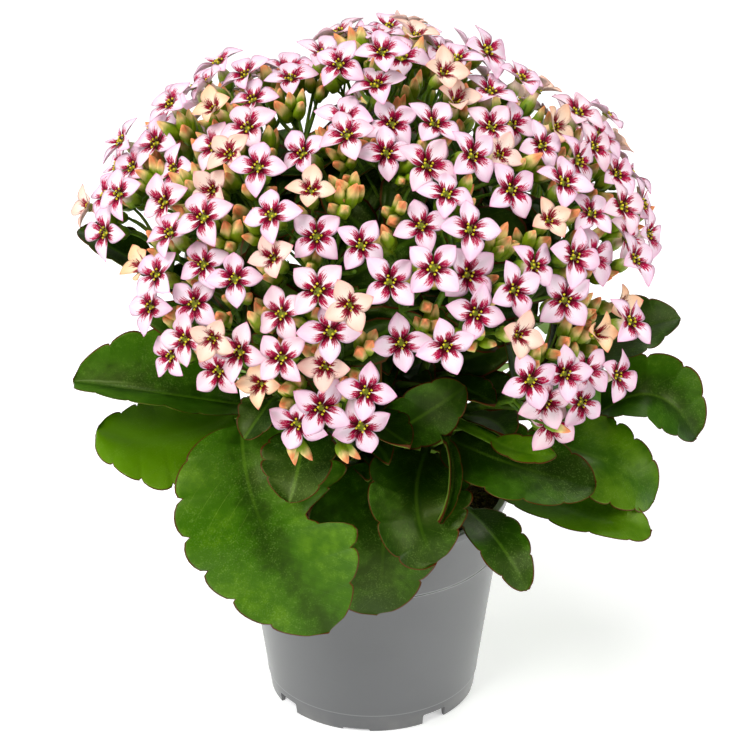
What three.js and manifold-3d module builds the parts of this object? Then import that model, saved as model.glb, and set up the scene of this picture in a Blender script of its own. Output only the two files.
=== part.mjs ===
// A flaming katy (Kalanchoe blossfeldiana) in a grey nursery pot.
// Millimetres, +Z up, the pot's axis on Z and its feet on z = 0. The front of the plant faces -Y.
// An azimuth is measured from the front (-Y), positive towards +X. A tilt is measured from straight up.
import * as THREE from 'three';
import { mergeVertices } from 'three/addons/utils/BufferGeometryUtils.js';
import Module from 'manifold-3d';

const wasm = await Module();
wasm.setup();

// Pot: a 12 cm nursery pot with a straight band under its lip
const pot = {
  height: 98, footRadius: 45.9, footWidth: 1.8, footDraft: 0.7, ringHeight: 8.5, ringRadius: 47.2,
  bandHeight: 71.6, bandRadius: 55.5, rimRadius: 57.6, lipRadius: 59.2, lipHeight: 4, lipEdge: 0.6,
  wall: 1.3, hubRadius: 26, hubDraft: 1.5, channelHeight: 4, floor: 1.6, sides: 28,
};
const drain = { count: 6, radius: 3.2, distance: 35, first: 10, drill: 20, sides: 6 };
const notch = { count: 8, tall: 5, shallow: 1.2, deep: 12, turn: 15, first: -54, pitch: 45 };
const soil = { top: 89, gap: 0.3, mound: 3, shoulder: 0.7, sides: 20 };

// The gap between a leaf and its shoot, and how it is found
const seatGap = 0.3;
const seating = { tries: 8, search: 6, error: 0.03, step: 0.9 };

// Stem: a short trunk that forks into one shoot for each flower head
const trunk = { radius: 8, foot: 62, collar: 95, top: 116, taper: 0.85, sides: 10 };
const shoot = { start: 97, radius: [2.6, 3.5, 2.8], sides: 4 };
const tiers = {
  low: { knee: [26, 116], tip: [38, 140] },
  middle: { knee: [15, 124], tip: [29, 160] },
  high: { knee: [8, 130], tip: [16, 174] },
  top: { knee: [0.5, 130], tip: [2, 184] },
};

// Flower dome: heads open on an ellipsoid about the pot's axis, and their faces turn less than it does
const dome = { centre: new THREE.Vector3(0, 0, 205), across: 113, high: 89 };
const facing = { most: 62, scale: 35, power: 1.3, spread: 0.011, light: 0.28, jitter: 0.16 };
const seeds = { first: 4211, step: 97 };
const bloom = {
  radius: 12, vary: 0.08, notch: 0.3, wide: 0.62, wideTurn: 37, spacing: 9.4,
  throat: 1.5, neck: 1.8, root: 0.35, layer: 2.4, wander: 3, cup: [3, 12], fading: 0.15,
  fadedCup: [18, 18], fadedSize: 0.9,
};
const bud = { length: 12, radius: 2.1, belly: 0.4, sink: 2.5, rise: 3, root: 0.35, tries: 3 };
const stalk = {
  radius: 2.4, sides: 4, thick: 1.7, thin: 1.5, knee: 8, hub: 0.45, arm: 0.74, spread: 15, arms: 3,
  fork: 0.16, pitch: 2.8, filled: 0.85, smooth: 0.08,
};

// Room that the blooms and buds leave each other: over and beside a blade, round a stalk and between
// centres
const clear = {
  blade: 1.5, stalk: 3, below: 18, beside: 0.6, centres: 12, lift: 2.6, tries: 4, buds: 5.5, near: 30,
};

// Each head: its azimuth and tilt on the dome, how far out it stands, the tier and azimuth of its
// shoot, and how many blooms and buds it offers
const heads = [
  { name: 'front_low', az: -12, tilt: 92, reach: 1.0, tier: 'low', shoot: -8, blooms: 12, buds: 3 },
  { name: 'left_low', az: -41, tilt: 81, reach: 0.98, tier: 'low', shoot: -40, blooms: 12, buds: 3 },
  { name: 'right_low', az: 43, tilt: 100, reach: 1.05, tier: 'low', shoot: 44, blooms: 10, buds: 3 },
  { name: 'left', az: -82, tilt: 61, reach: 1.01, tier: 'middle', shoot: -88, blooms: 12, buds: 3 },
  { name: 'front_left', az: -16, tilt: 70, reach: 0.98, tier: 'middle', shoot: -25, blooms: 14, buds: 3 },
  { name: 'front_right', az: 17, tilt: 70, reach: 0.99, tier: 'middle', shoot: 20, blooms: 15, buds: 3 },
  { name: 'right_middle', az: 51, tilt: 75, reach: 0.98, tier: 'middle', shoot: 66, blooms: 14, buds: 3 },
  { name: 'left_middle', az: -47, tilt: 55, reach: 0.96, tier: 'middle', shoot: -60, blooms: 14, buds: 3 },
  { name: 'right', az: 85, tilt: 65, reach: 0.99, tier: 'middle', shoot: 94, blooms: 14, buds: 3 },
  { name: 'top_front', az: 0, tilt: 39, reach: 0.97, tier: 'high', shoot: 2, blooms: 14, buds: 3 },
  { name: 'top_right', az: 52, tilt: 38, reach: 0.97, tier: 'high', shoot: 58, blooms: 13, buds: 3 },
  { name: 'top_left', az: -68, tilt: 29, reach: 0.97, tier: 'high', shoot: -76, blooms: 13, buds: 3 },
  { name: 'top', az: 40, tilt: 8, reach: 1.03, tier: 'top', shoot: 40, blooms: 13, buds: 3 },
  { name: 'back_right', az: 124, tilt: 70, reach: 0.95, tier: 'middle', shoot: 126, blooms: 15, buds: 3 },
  { name: 'back', az: 165, tilt: 66, reach: 0.97, tier: 'middle', shoot: 158, blooms: 15, buds: 3 },
  { name: 'back_left', az: -128, tilt: 64, reach: 0.97, tier: 'middle', shoot: -126, blooms: 15, buds: 3 },
  { name: 'back_top', az: 168, tilt: 36, reach: 0.97, tier: 'high', shoot: -168, blooms: 13, buds: 3 },
];

// Every leaf: how its blade fills out, how deep its teeth are and by where they are full, where a cleft
// is, how thick it is at the rib, and its petiole's half width, thickness and sweep
const leafForm = {
  belly: 0.85, fullness: 0.55, toothDepth: 0.13, toothFull: 0.3, cleftAt: 0.52, cleftWide: 0.08,
  thick: 2.2, petioleHalf: 2.2, petioleThick: 3.2, sweep: 0.35,
};

// Each leaf: its shoot and where on it, three points of the blade's rib as azimuth, distance and height,
// the half width and curl of its left and right side, how deep each side is cleft if at all, the azimuth
// that the leaf faces, its roll, its fold and its teeth a side
const leaves = [
  {
    name: 'left_upper', on: 'left', at: 0.55, rib: [[-56, 65, 153], [-62, 95, 162], [-72, 128, 165]],
    half: [29, 26], curl: [5, 1], face: -80, roll: -26, fold: 36, teeth: 6, curved: true,
  },
  {
    name: 'left_lower', on: 'left_low', at: 0.75, rib: [[-57, 69, 149], [-60, 99, 145], [-65, 123, 149]],
    half: [26, 32], curl: [5, -25], face: -60, roll: -12, fold: 4, teeth: 6, curved: true,
  },
  {
    name: 'front_left', on: 'left_low', at: 0.5, rib: [[-42, 78, 154], [-27, 95, 122], [-11, 90, 76]],
    half: [33, 42], cleft: [0, 0.55], curl: [-12, 30], face: 5, roll: 0, fold: 3, teeth: 7, curved: true,
  },
  {
    name: 'front_dark', on: 'front_low', at: 0.5, rib: [[-22, 73, 157], [-19, 88, 150], [-19, 99, 138]],
    half: [16, 16], curl: [10, 10], face: -20, roll: 0, fold: 6, teeth: 4,
  },
  {
    name: 'front_behind', on: 'front_low', at: 0.3, rib: [[7, 42, 130], [4, 66, 106], [2, 66, 71]],
    half: [32, 24], curl: [5, 12], face: 5, roll: 0, fold: 4, teeth: 4,
  },
  {
    name: 'front_cup', on: 'front_right', at: 0.5, rib: [[24, 53, 137], [13, 79, 127], [17, 88, 106]],
    half: [24, 23], curl: [38, 15], face: 8, roll: 0, fold: 10, teeth: 5, curved: true,
  },
  {
    name: 'front_fold', on: 'front_right', at: 0.8, rib: [[25, 70, 150], [22, 85, 140], [17, 90, 125]],
    half: [6, 6], curl: [60, 60], face: 20, roll: 0, fold: 35, teeth: 3,
  },
  {
    name: 'front_right_low', on: 'trunk', at: 95.5, rib: [[40, 62, 110], [37, 86, 106], [40, 98, 88]],
    half: [13, 13], curl: [5, 5], face: 35, roll: 0, fold: 6, teeth: 4,
  },
  {
    name: 'right_centre', on: 'right_low', at: 0.5, rib: [[35, 56, 142], [41, 92, 141], [50, 116, 136]],
    half: [23, 19], curl: [15, 15], face: 45, roll: 18, fold: 6, teeth: 5,
  },
  {
    name: 'right_behind', on: 'right_middle', at: 0.45,
    rib: [[67, 67, 132], [64, 104, 133], [69, 125, 113]],
    half: [24, 22], curl: [5, 5], face: 70, roll: 20, fold: 4, teeth: 6, curved: true,
  },
  {
    name: 'right_low_edge', on: 'trunk', at: 95.5, rib: [[72, 57, 108], [56, 104, 115], [63, 128, 107]],
    half: [15, 15], curl: [5, 20], face: 60, roll: 10, fold: 6, teeth: 5,
  },
  {
    name: 'right_upper', on: 'right', at: 0.75, rib: [[89, 82, 152], [94, 107, 165], [95, 132, 171]],
    half: [19, 19], curl: [10, 10], face: 80, roll: 25, fold: 8, teeth: 5,
  },
  {
    name: 'right_curled', on: 'right', at: 0.5, rib: [[81, 98, 140], [81, 120, 149], [83, 138, 128]],
    half: [22, 19], curl: [20, 45], face: 70, roll: 25, fold: 10, teeth: 5, curved: true,
  },
  {
    name: 'bright_small', on: 'front_right', at: 0.97,
    rib: [[35, 84, 153], [38, 98, 152], [43, 106, 151]],
    half: [8, 8], curl: [10, 10], face: 40, roll: 15, fold: 8, teeth: 3,
  },
  {
    name: 'right_front_up', on: 'right_middle', at: 0.9,
    rib: [[38, 50, 166], [37, 66, 167], [39, 78, 165]],
    half: [9, 9], curl: [10, 10], face: 40, roll: 5, fold: 8, teeth: 4,
  },
  {
    name: 'right_inner', on: 'right_low', at: 0.7, rib: [[50, 50, 146], [45, 68, 152], [40, 84, 152]],
    half: [11, 11], curl: [10, 10], face: 40, roll: 0, fold: 8, teeth: 4,
  },
  {
    name: 'centre_up', on: 'front_low', at: 0.65, rib: [[6, 46, 142], [20, 63, 160], [32, 70, 172]],
    half: [13, 15], curl: [10, 15], face: 20, roll: 138, fold: 8, teeth: 4,
  },
  {
    name: 'centre_small', on: 'front_low', at: 0.9, rib: [[-1, 58, 160], [4, 72, 160], [10, 85, 158]],
    half: [11, 11], curl: [10, 10], face: 10, roll: 0, fold: 8, teeth: 3,
  },
  {
    name: 'left_inner', on: 'left_low', at: 0.95, rib: [[-33, 74, 167], [-33, 81, 164], [-35, 88, 155]],
    half: [11, 11], curl: [10, 10], face: -40, roll: 0, fold: 10, teeth: 4,
  },
  {
    name: 'left_high', on: 'left', at: 0.92, rib: [[-84, 90, 201], [-82, 106, 213], [-85, 120, 220]],
    half: [13, 13], curl: [20, 20], face: -80, roll: -25, fold: 10, teeth: 4,
  },
  {
    name: 'left_high_dark', on: 'left_middle', at: 0.8,
    rib: [[-68, 64, 192], [-70, 80, 202], [-74, 92, 206]],
    half: [11, 11], curl: [10, 10], face: -60, roll: -30, fold: 8, teeth: 4,
  },
  {
    name: 'upper_dark', on: 'top_left', at: 0.8, rib: [[-74, 49, 214], [-78, 55, 228], [-86, 57, 239]],
    half: [17, 17], curl: [15, 15], face: -40, roll: 170, fold: 10, teeth: 5,
  },
  {
    name: 'right_side', on: 'right', at: 0.35, rib: [[106, 58, 124], [108, 92, 126], [110, 116, 106]],
    half: [26, 26], curl: [8, 14], face: 108, roll: 8, fold: 6, teeth: 5,
  },
  {
    name: 'back_right_side', on: 'back_right', at: 0.55,
    rib: [[131, 58, 142], [132, 90, 150], [134, 112, 136]],
    half: [25, 25], curl: [14, 10], face: 132, roll: -6, fold: 8, teeth: 5,
  },
  {
    name: 'back_right_low', on: 'trunk', at: 95.5, rib: [[153, 54, 114], [154, 88, 118], [156, 112, 97]],
    half: [29, 29], curl: [10, 6], face: 154, roll: -4, fold: 6, teeth: 5,
  },
  {
    name: 'back_middle', on: 'back', at: 0.6, rib: [[178, 56, 144], [180, 88, 150], [182, 112, 134]],
    half: [26, 26], curl: [10, 14], face: 180, roll: 5, fold: 8, teeth: 5,
  },
  {
    name: 'back_left_low', on: 'trunk', at: 95.5,
    rib: [[-156, 54, 114], [-154, 88, 116], [-152, 112, 96]],
    half: [29, 29], curl: [8, 10], face: -154, roll: 4, fold: 6, teeth: 5,
  },
  {
    name: 'back_left_side', on: 'back_left', at: 0.55,
    rib: [[-129, 58, 142], [-128, 90, 150], [-126, 114, 134]],
    half: [26, 26], curl: [8, 12], face: -128, roll: -6, fold: 8, teeth: 5,
  },
  {
    name: 'left_side', on: 'left', at: 0.3, rib: [[-103, 58, 120], [-103, 90, 124], [-102, 115, 106]],
    half: [26, 26], curl: [12, 8], face: -102, roll: 4, fold: 6, teeth: 5,
  },
  {
    name: 'inner_front_left', on: 'front_left', at: 0.9,
    rib: [[-32, 42, 176], [-33, 56, 196], [-34, 66, 216]],
    half: [14, 14], curl: [10, 10], face: -33, roll: 0, fold: 10, teeth: 4,
  },
  {
    name: 'inner_front_right', on: 'right_low', at: 0.97,
    rib: [[36, 42, 177], [36, 56, 197], [36, 66, 217]],
    half: [14, 14], curl: [10, 10], face: 34, roll: 0, fold: 10, teeth: 4,
  },
  {
    name: 'inner_front', on: 'top_front', at: 0.9, rib: [[2, 32, 190], [1, 48, 206], [0, 58, 226]],
    half: [13, 13], curl: [10, 10], face: 0, roll: 0, fold: 10, teeth: 4,
  },
  {
    name: 'inner_right', on: 'right', at: 0.95, rib: [[78, 42, 178], [75, 58, 196], [72, 70, 214]],
    half: [14, 14], curl: [10, 10], face: 75, roll: 0, fold: 10, teeth: 4,
  },
  {
    name: 'inner_back_right', on: 'back_right', at: 0.95,
    rib: [[142, 42, 178], [144, 56, 198], [146, 68, 218]],
    half: [14, 14], curl: [10, 10], face: 144, roll: 0, fold: 10, teeth: 4,
  },
  {
    name: 'inner_back_left', on: 'back_left', at: 0.95,
    rib: [[-150, 42, 178], [-152, 56, 198], [-154, 68, 218]],
    half: [14, 14], curl: [10, 10], face: -152, roll: 0, fold: 10, teeth: 4,
  },
  {
    name: 'inner_left', on: 'left', at: 0.97, rib: [[-104, 42, 178], [-106, 56, 198], [-108, 68, 218]],
    half: [14, 14], curl: [10, 10], face: -106, roll: 0, fold: 10, teeth: 4,
  },
];

const golden = Math.PI * (3 - Math.sqrt(5));
const radians = THREE.MathUtils.degToRad;
const degrees = THREE.MathUtils.radToDeg;
const point = (x, y, z) => new THREE.Vector3(x, y, z);

function makeRandom(seed) {
  let state = seed;
  return () => {
    state = (state * 16807) % 2147483647;
    return state / 2147483647;
  };
}

function outward(az, tilt) {
  const a = radians(az);
  const t = radians(tilt);
  return point(Math.sin(a) * Math.sin(t), -Math.cos(a) * Math.sin(t), Math.cos(t));
}

// Solids
function bodyOf(corners) {
  const geometry = new THREE.BufferGeometry().setFromPoints(corners);
  return toSolid(geometry);
}

// A closed body through rings of points, all with as many points, where an end may be a single point
function loft(rings) {
  const corners = [];
  for (let i = 0; i + 1 < rings.length; i++) {
    const a = rings[i];
    const b = rings[i + 1];
    const count = Math.max(a.length, b.length);
    for (let k = 0; k < count; k++) {
      const next = (k + 1) % count;
      if (a.length === 1) corners.push(a[0], b[next], b[k]);
      else if (b.length === 1) corners.push(a[k], a[next], b[0]);
      else corners.push(a[k], a[next], b[next], a[k], b[next], b[k]);
    }
  }
  const first = rings[0];
  const last = rings[rings.length - 1];
  for (let k = 1; k + 1 < first.length; k++) corners.push(first[0], first[k + 1], first[k]);
  for (let k = 1; k + 1 < last.length; k++) corners.push(last[0], last[k], last[k + 1]);
  return bodyOf(corners);
}

function toSolid(geometry) {
  const bare = geometry.index ? geometry.toNonIndexed() : geometry.clone();
  bare.deleteAttribute('normal');
  bare.deleteAttribute('uv');
  const merged = mergeVertices(bare, 1e-4);
  const mesh = new wasm.Mesh({
    numProp: 3,
    vertProperties: merged.attributes.position.array,
    triVerts: new Uint32Array(merged.index.array),
  });
  return new wasm.Manifold(mesh);
}

function toGeometry(solid) {
  const mesh = solid.getMesh();
  const geometry = new THREE.BufferGeometry();
  geometry.setAttribute('position', new THREE.BufferAttribute(mesh.vertProperties, 3));
  geometry.setIndex(new THREE.BufferAttribute(mesh.triVerts, 1));
  return geometry;
}

function joined(solids) {
  return wasm.Manifold.union(solids);
}

// The outer body alone, without scraps or closed hollows
function largest(solid) {
  return solid.decompose().reduce((best, part) => (part.volume() > best.volume() ? part : best));
}

function turned(profile, sides) {
  const points = profile.map(([radius, z]) => new THREE.Vector2(radius, z));
  return toSolid(new THREE.LatheGeometry(points, sides).rotateX(Math.PI / 2));
}

// Two directions across an axis, so that u, v and the axis make a right-handed set. With a direction
// to follow, u stays as near to it as it can.
function across(axis, follow) {
  const helper = Math.abs(axis.z) > 0.9 ? point(1, 0, 0) : point(0, 0, 1);
  const u = follow ? follow.clone().addScaledVector(axis, -follow.dot(axis)) : helper.cross(axis);
  u.normalize();
  return [u, new THREE.Vector3().crossVectors(axis, u)];
}

function ringOf(centre, [u, v], radius, sides, phase = 0) {
  return Array.from({ length: sides }, (_, k) => {
    const turn = phase + (2 * Math.PI * k) / sides;
    return centre.clone()
      .addScaledVector(u, radius * Math.cos(turn))
      .addScaledVector(v, radius * Math.sin(turn));
  });
}

function stemAlong(points, radii, sides) {
  const last = points.length - 1;
  let follow = null;
  return loft(points.map((centre, i) => {
    const axis = points[Math.min(i + 1, last)].clone().sub(points[Math.max(i - 1, 0)]).normalize();
    const directions = across(axis, follow);
    [follow] = directions;
    return ringOf(centre, directions, radii[i], sides);
  }));
}

// Pot
function wallRadius(z) {
  const [low, high, from, to] = z < pot.bandHeight
    ? [pot.ringRadius, pot.bandRadius, pot.ringHeight, pot.bandHeight]
    : [pot.bandRadius, pot.rimRadius, pot.bandHeight, pot.height - pot.lipHeight];
  return low + ((high - low) * (z - from)) / (to - from);
}

function makePot() {
  const { height, footRadius, ringHeight, ringRadius, bandHeight, bandRadius, rimRadius, lipRadius } = pot;
  const { wall, hubRadius, hubDraft, channelHeight, floor } = pot;
  const under = height - pot.lipHeight;
  const footInside = footRadius - pot.footWidth;
  const floorTop = channelHeight + floor;
  let body = turned([
    [0, 0], [hubRadius, 0], [hubRadius + hubDraft, channelHeight],
    [footInside - pot.footDraft, channelHeight], [footInside, 0], [footRadius, 0],
    [ringRadius, ringHeight], [bandRadius, bandHeight], [rimRadius, under],
    [lipRadius, under + pot.lipEdge], [lipRadius, height], [rimRadius - wall, height],
    [bandRadius - wall, bandHeight], [wallRadius(floorTop) - wall, floorTop], [hubRadius, floorTop],
    [hubRadius - hubDraft, floor], [0, floor],
  ], pot.sides);
  for (let k = 0; k < drain.count; k++) {
    const way = outward(drain.first + (k * 360) / drain.count, 90).multiplyScalar(drain.distance);
    const drill = new THREE.CylinderGeometry(drain.radius, drain.radius, drain.drill, drain.sides);
    body = body.subtract(toSolid(drill.rotateX(Math.PI / 2).translate(way.x, way.y, 0)));
  }
  for (let k = 0; k < notch.count; k++) {
    const az = notch.first + k * notch.pitch;
    const way = outward(az, 90).multiplyScalar(footRadius);
    const width = 2 * footRadius * Math.sin(radians(notch.turn / 2));
    const tall = k % 2 ? notch.shallow : notch.tall;
    const cutter = new THREE.BoxGeometry(width, notch.deep, 2 * tall);
    body = body.subtract(toSolid(cutter.rotateZ(radians(az)).translate(way.x, way.y, 0)));
  }
  return body;
}

function makeSoil() {
  const foot = pot.channelHeight + pot.floor + soil.gap;
  const inner = (z) => wallRadius(z) * Math.cos(Math.PI / pot.sides) - pot.wall - soil.gap;
  const hub = pot.hubRadius - pot.hubDraft - 2 * soil.gap;
  const body = turned([
    [0, pot.floor + soil.gap], [hub, pot.floor + soil.gap], [hub + pot.hubDraft - soil.gap, foot],
    [inner(foot), foot], [inner(pot.bandHeight), pot.bandHeight], [inner(soil.top), soil.top],
    [inner(soil.top) / 2, soil.top + soil.mound * soil.shoulder], [0, soil.top + soil.mound],
  ], soil.sides);
  const hole = trunk.radius + soil.gap;
  const drill = new THREE.CylinderGeometry(hole, hole, 2 * pot.height, trunk.sides).rotateX(Math.PI / 2);
  return body.subtract(toSolid(drill.translate(0, 0, trunk.foot - soil.gap + pot.height)));
}

// Stem
function shootCurve(head) {
  const { knee, tip } = tiers[head.tier];
  const way = outward(head.shoot, 90);
  return new THREE.QuadraticBezierCurve3(
    point(0, 0, shoot.start),
    point(way.x * knee[0], way.y * knee[0], knee[1]),
    point(way.x * tip[0], way.y * tip[0], tip[1]),
  );
}

function makeStem() {
  const narrow = trunk.radius * trunk.taper;
  const pieces = [stemAlong(
    [point(0, 0, trunk.foot), point(0, 0, trunk.collar), point(0, 0, trunk.top)],
    [trunk.radius, trunk.radius, narrow],
    trunk.sides,
  )];
  heads.forEach((head) => {
    const curve = shootCurve(head);
    const points = shoot.radius.map((_, i) => curve.getPoint(i / (shoot.radius.length - 1)));
    pieces.push(stemAlong(points, shoot.radius, shoot.sides));
  });
  return joined(pieces).simplify(stalk.smooth);
}

// Leaf: a parabola through the three points of its rib, and the directions across it
function ribOf(leaf) {
  const places = leaf.rib.map(([az, distance, z]) => outward(az, 90).multiplyScalar(distance).setZ(z));
  const weigh = (...shares) => (
    shares.reduce((sum, share, i) => sum.addScaledVector(places[i], share), point(0, 0, 0)));
  const side0 = point(Math.cos(radians(leaf.face)), Math.sin(radians(leaf.face)), 0);
  return (s) => {
    const centre = weigh((1 - s) * (1 - 2 * s), 4 * s * (1 - s), s * (2 * s - 1));
    const ahead = weigh(4 * s - 3, 4 - 8 * s, 4 * s - 1).normalize();
    const side = side0.clone().addScaledVector(ahead, -side0.dot(ahead)).normalize();
    side.applyAxisAngle(ahead, radians(leaf.roll));
    return { centre, ahead, side, up: new THREE.Vector3().crossVectors(side, ahead).negate() };
  };
}

// A blade's half width at s along it: round, with blunt teeth and perhaps a cleft
function halfWidth(half, cleft, s, valley) {
  const belly = Math.sin(Math.PI * s ** leafForm.belly) ** leafForm.fullness;
  const tooth = valley ? 1 - leafForm.toothDepth * Math.min(1, s / leafForm.toothFull) : 1;
  const cut = 1 - cleft * Math.exp(-(((s - leafForm.cleftAt) / leafForm.cleftWide) ** 2));
  return Math.max(leafForm.petioleHalf, half * belly * tooth * cut);
}

// A point at t across the blade, from -1 at its left edge to 1 at its right, folded at the rib and
// curled towards the edge
function leafPoint(leaf, frame, halves, t) {
  const right = t > 0 ? 1 : 0;
  const reach = halves[right];
  const fold = radians(leaf.fold);
  const bend = radians(leaf.curl[right]) || 1e-4;
  const a = Math.abs(t);
  const aside = (Math.sin(fold + bend * a) - Math.sin(fold)) / bend;
  const rise = (Math.cos(fold) - Math.cos(fold + bend * a)) / bend;
  return frame.centre.clone()
    .addScaledVector(frame.side, reach * Math.sign(t) * aside)
    .addScaledVector(frame.up, reach * rise);
}

// Where a petiole meets its shoot or the trunk, and the way it leaves it, with push millimetres between
// them
function seatOf(leaf, towards, push) {
  if (leaf.on === 'trunk') {
    const off = outward(leaf.rib[0][0], 90);
    return { off, base: off.clone().multiplyScalar(trunk.radius + push).setZ(leaf.at) };
  }
  const curve = shootCurve(heads.find(({ name }) => name === leaf.on));
  const grown = curve.getPoint(leaf.at);
  const along = curve.getTangent(leaf.at);
  const off = towards.clone().sub(grown);
  off.addScaledVector(along, -off.dot(along)).normalize();
  return { off, base: grown.addScaledVector(off, shoot.radius[1] + push) };
}

function leafSolid(leaf, push) {
  const rib = ribOf(leaf);
  const first = rib(0);
  const { base, off } = seatOf(leaf, first.centre, push);
  const chord = first.centre.clone().sub(base);
  const sweep = leafForm.sweep * chord.length();
  const leaving = chord.normalize().add(off).normalize();
  const petiole = new THREE.CubicBezierCurve3(
    base,
    base.clone().addScaledVector(leaving, sweep),
    first.centre.clone().addScaledVector(first.ahead, -sweep),
    first.centre,
  );
  const columns = leaf.curved ? [-1, -0.55, 0, 0.55, 1] : [-1, 0, 1];
  const ring = (frame, halves, thick) => {
    const top = columns.map((t) => leafPoint(leaf, frame, halves, t));
    const under = columns.slice(1, -1).reverse().map((t) => (
      leafPoint(leaf, frame, halves, t).addScaledVector(frame.up, -thick * (1 - t * t))));
    return [...top, ...under];
  };
  let follow = first.side;
  const rings = [0.5, 0].map((s) => {
    const [side, up] = across(petiole.getTangent(s), follow);
    follow = side;
    const halves = [leafForm.petioleHalf, leafForm.petioleHalf];
    return ring({ centre: petiole.getPoint(s), side, up }, halves, leafForm.petioleThick);
  }).reverse();
  const { cleft = [0, 0] } = leaf;
  const count = leaf.teeth * 2;
  for (let i = 0; i < count; i++) {
    const s = i / count;
    const halves = leaf.half.map((half, side) => halfWidth(half, cleft[side], s, i % 2 === 0));
    rings.push(ring(rib(s), halves, leafForm.thick));
  }
  rings.push([rib(1).centre]);
  return loft(rings.map((points) => points.reverse()));
}

// Moves a leaf's foot away from its shoot until the gap between them is the seat's
function makeLeaf(leaf, stem) {
  let push = seatGap;
  let solid = leafSolid(leaf, push);
  for (let tries = 0; tries < seating.tries; tries++) {
    const gap = solid.minGap(stem, seating.search);
    if (Math.abs(gap - seatGap) < seating.error) break;
    push += gap > 0 ? seatGap - gap : seating.step;
    solid = leafSolid(leaf, push);
  }
  return solid;
}

// Blooms
const domeAxes = point(dome.across, dome.across, dome.high);

function onDome(direction, reach) {
  return direction.clone().multiply(domeAxes).multiplyScalar(reach).add(dome.centre);
}

function domeDirection(place) {
  return place.clone().sub(dome.centre).divide(domeAxes).normalize();
}

// How far a bloom's outline reaches at a turn: along straight lines from the middle of the nearest petal
// to its widest place, and from there to the notch between two petals
function petalReach(turn) {
  const quarter = Math.PI / 2;
  const away = Math.abs(turn - quarter * Math.round(turn / quarter));
  const wide = radians(bloom.wideTurn);
  const corner = (radius, at) => new THREE.Vector2(radius * Math.cos(at), radius * Math.sin(at));
  const widest = corner(bloom.wide, wide);
  const from = away < wide ? corner(1, 0) : widest;
  const to = away < wide ? widest : corner(bloom.notch, quarter / 2);
  return from.cross(to) / corner(1, away).cross(to.clone().sub(from));
}

// Height of a place above a bloom's face, and whether it is over its petals
function overFace(b, place, margin) {
  const offset = place.clone().sub(b.centre);
  const x = offset.dot(b.u);
  const y = offset.dot(b.v);
  const aside = Math.hypot(x, y);
  const height = offset.dot(b.normal) - aside * Math.tan(b.cup);
  const reach = b.radius * Math.cos(b.cup) * petalReach(Math.atan2(y, x) - b.spin) + margin;
  return { height, aside, inside: aside < reach, below: offset.dot(b.normal) };
}

function crosses(b, path) {
  let before = null;
  for (const place of path) {
    const now = overFace(b, place, clear.beside);
    if (now.inside && Math.abs(now.height) < clear.blade) return true;
    if (before && now.inside && before.inside && now.height * before.height < 0) return true;
    if (now.below < 0 && now.below > -clear.below && now.aside < clear.stalk) return true;
    before = now;
  }
  return false;
}

// Lines of places along and across each petal of a bloom
function petalPaths(b) {
  const place = (share, turn) => b.centre.clone()
    .addScaledVector(b.u, b.radius * share * Math.cos(b.cup) * Math.cos(turn))
    .addScaledVector(b.v, b.radius * share * Math.cos(b.cup) * Math.sin(turn))
    .addScaledVector(b.normal, b.radius * share * Math.sin(b.cup));
  const wide = radians(bloom.wideTurn);
  return [0, 1, 2, 3].flatMap((k) => {
    const turn = b.spin + (k * Math.PI) / 2;
    const along = [0.3, 0.55, 0.8, 1].map((share) => place(share, turn));
    const aside = [-wide, -wide / 2, wide / 2, wide].map((away) => place(bloom.wide, turn + away));
    return [along, aside];
  });
}

function touches(a, b) {
  const apart = a.centre.distanceTo(b.centre);
  if (apart > clear.near + a.radius) return false;
  if (apart < clear.centres) return true;
  const over = (one, other) => petalPaths(one).some((path) => crosses(other, path));
  return over(a, b) || over(b, a);
}

// The way a bloom at a place on the dome faces: up and out from the dome and its own head, and a little
// towards the light in front
function facingAt(place, middle, draws) {
  const offset = place.clone().sub(dome.centre).divide(domeAxes);
  const tilt = degrees(Math.atan2(Math.hypot(offset.x, offset.y), offset.z));
  const az = degrees(Math.atan2(offset.x, -offset.y));
  const leaned = facing.most * (1 - Math.exp(-((tilt / facing.scale) ** facing.power)));
  return outward(az, leaned)
    .addScaledVector(place.clone().sub(middle), facing.spread)
    .add(point(draws[0] - 0.5, draws[1] - 0.5, draws[2] - 0.5).multiplyScalar(2 * facing.jitter))
    .add(point(0, -facing.light, 0))
    .normalize();
}

// A place on the dome, so many steps out from the middle of a head and turned psi about it
function placeOf(one, steps, psi, wander = [0, 0]) {
  const rho = bloom.spacing * Math.sqrt(steps);
  const place = one.middle.clone()
    .addScaledVector(one.u, rho * Math.cos(psi) + wander[0])
    .addScaledVector(one.v, rho * Math.sin(psi) + wander[1]);
  return onDome(domeDirection(place), one.head.reach);
}

// The kth bloom of a head, lifted clear of all that are open, or left out if it would still touch one
function openBloom(one, k, opened) {
  const draws = Array.from({ length: 9 }, one.random);
  const wander = draws.slice(0, 2).map((draw) => bloom.wander * (draw - 0.5));
  const ground = placeOf(one, k + 0.3, one.phase + k * golden, wander);
  const fading = draws[5] < bloom.fading;
  const [least, more] = fading ? bloom.fadedCup : bloom.cup;
  const made = {
    fading,
    normal: facingAt(ground, one.middle, draws.slice(2, 5)),
    radius: bloom.radius * (1 + bloom.vary * (2 * draws[6] - 1)) * (fading ? bloom.fadedSize : 1),
    cup: radians(least + more * draws[7]),
    spin: (draws[8] * Math.PI) / 2,
  };
  [made.u, made.v] = across(made.normal);
  for (let tries = 0; tries < clear.tries; tries++) {
    const lift = bloom.layer * ((k % 3) - 1) + tries * clear.lift;
    made.centre = ground.clone().addScaledVector(made.normal, lift);
    if (!opened.some((other) => touches(made, other))) {
      opened.push(made);
      one.blooms.push(made);
      return;
    }
  }
}

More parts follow.
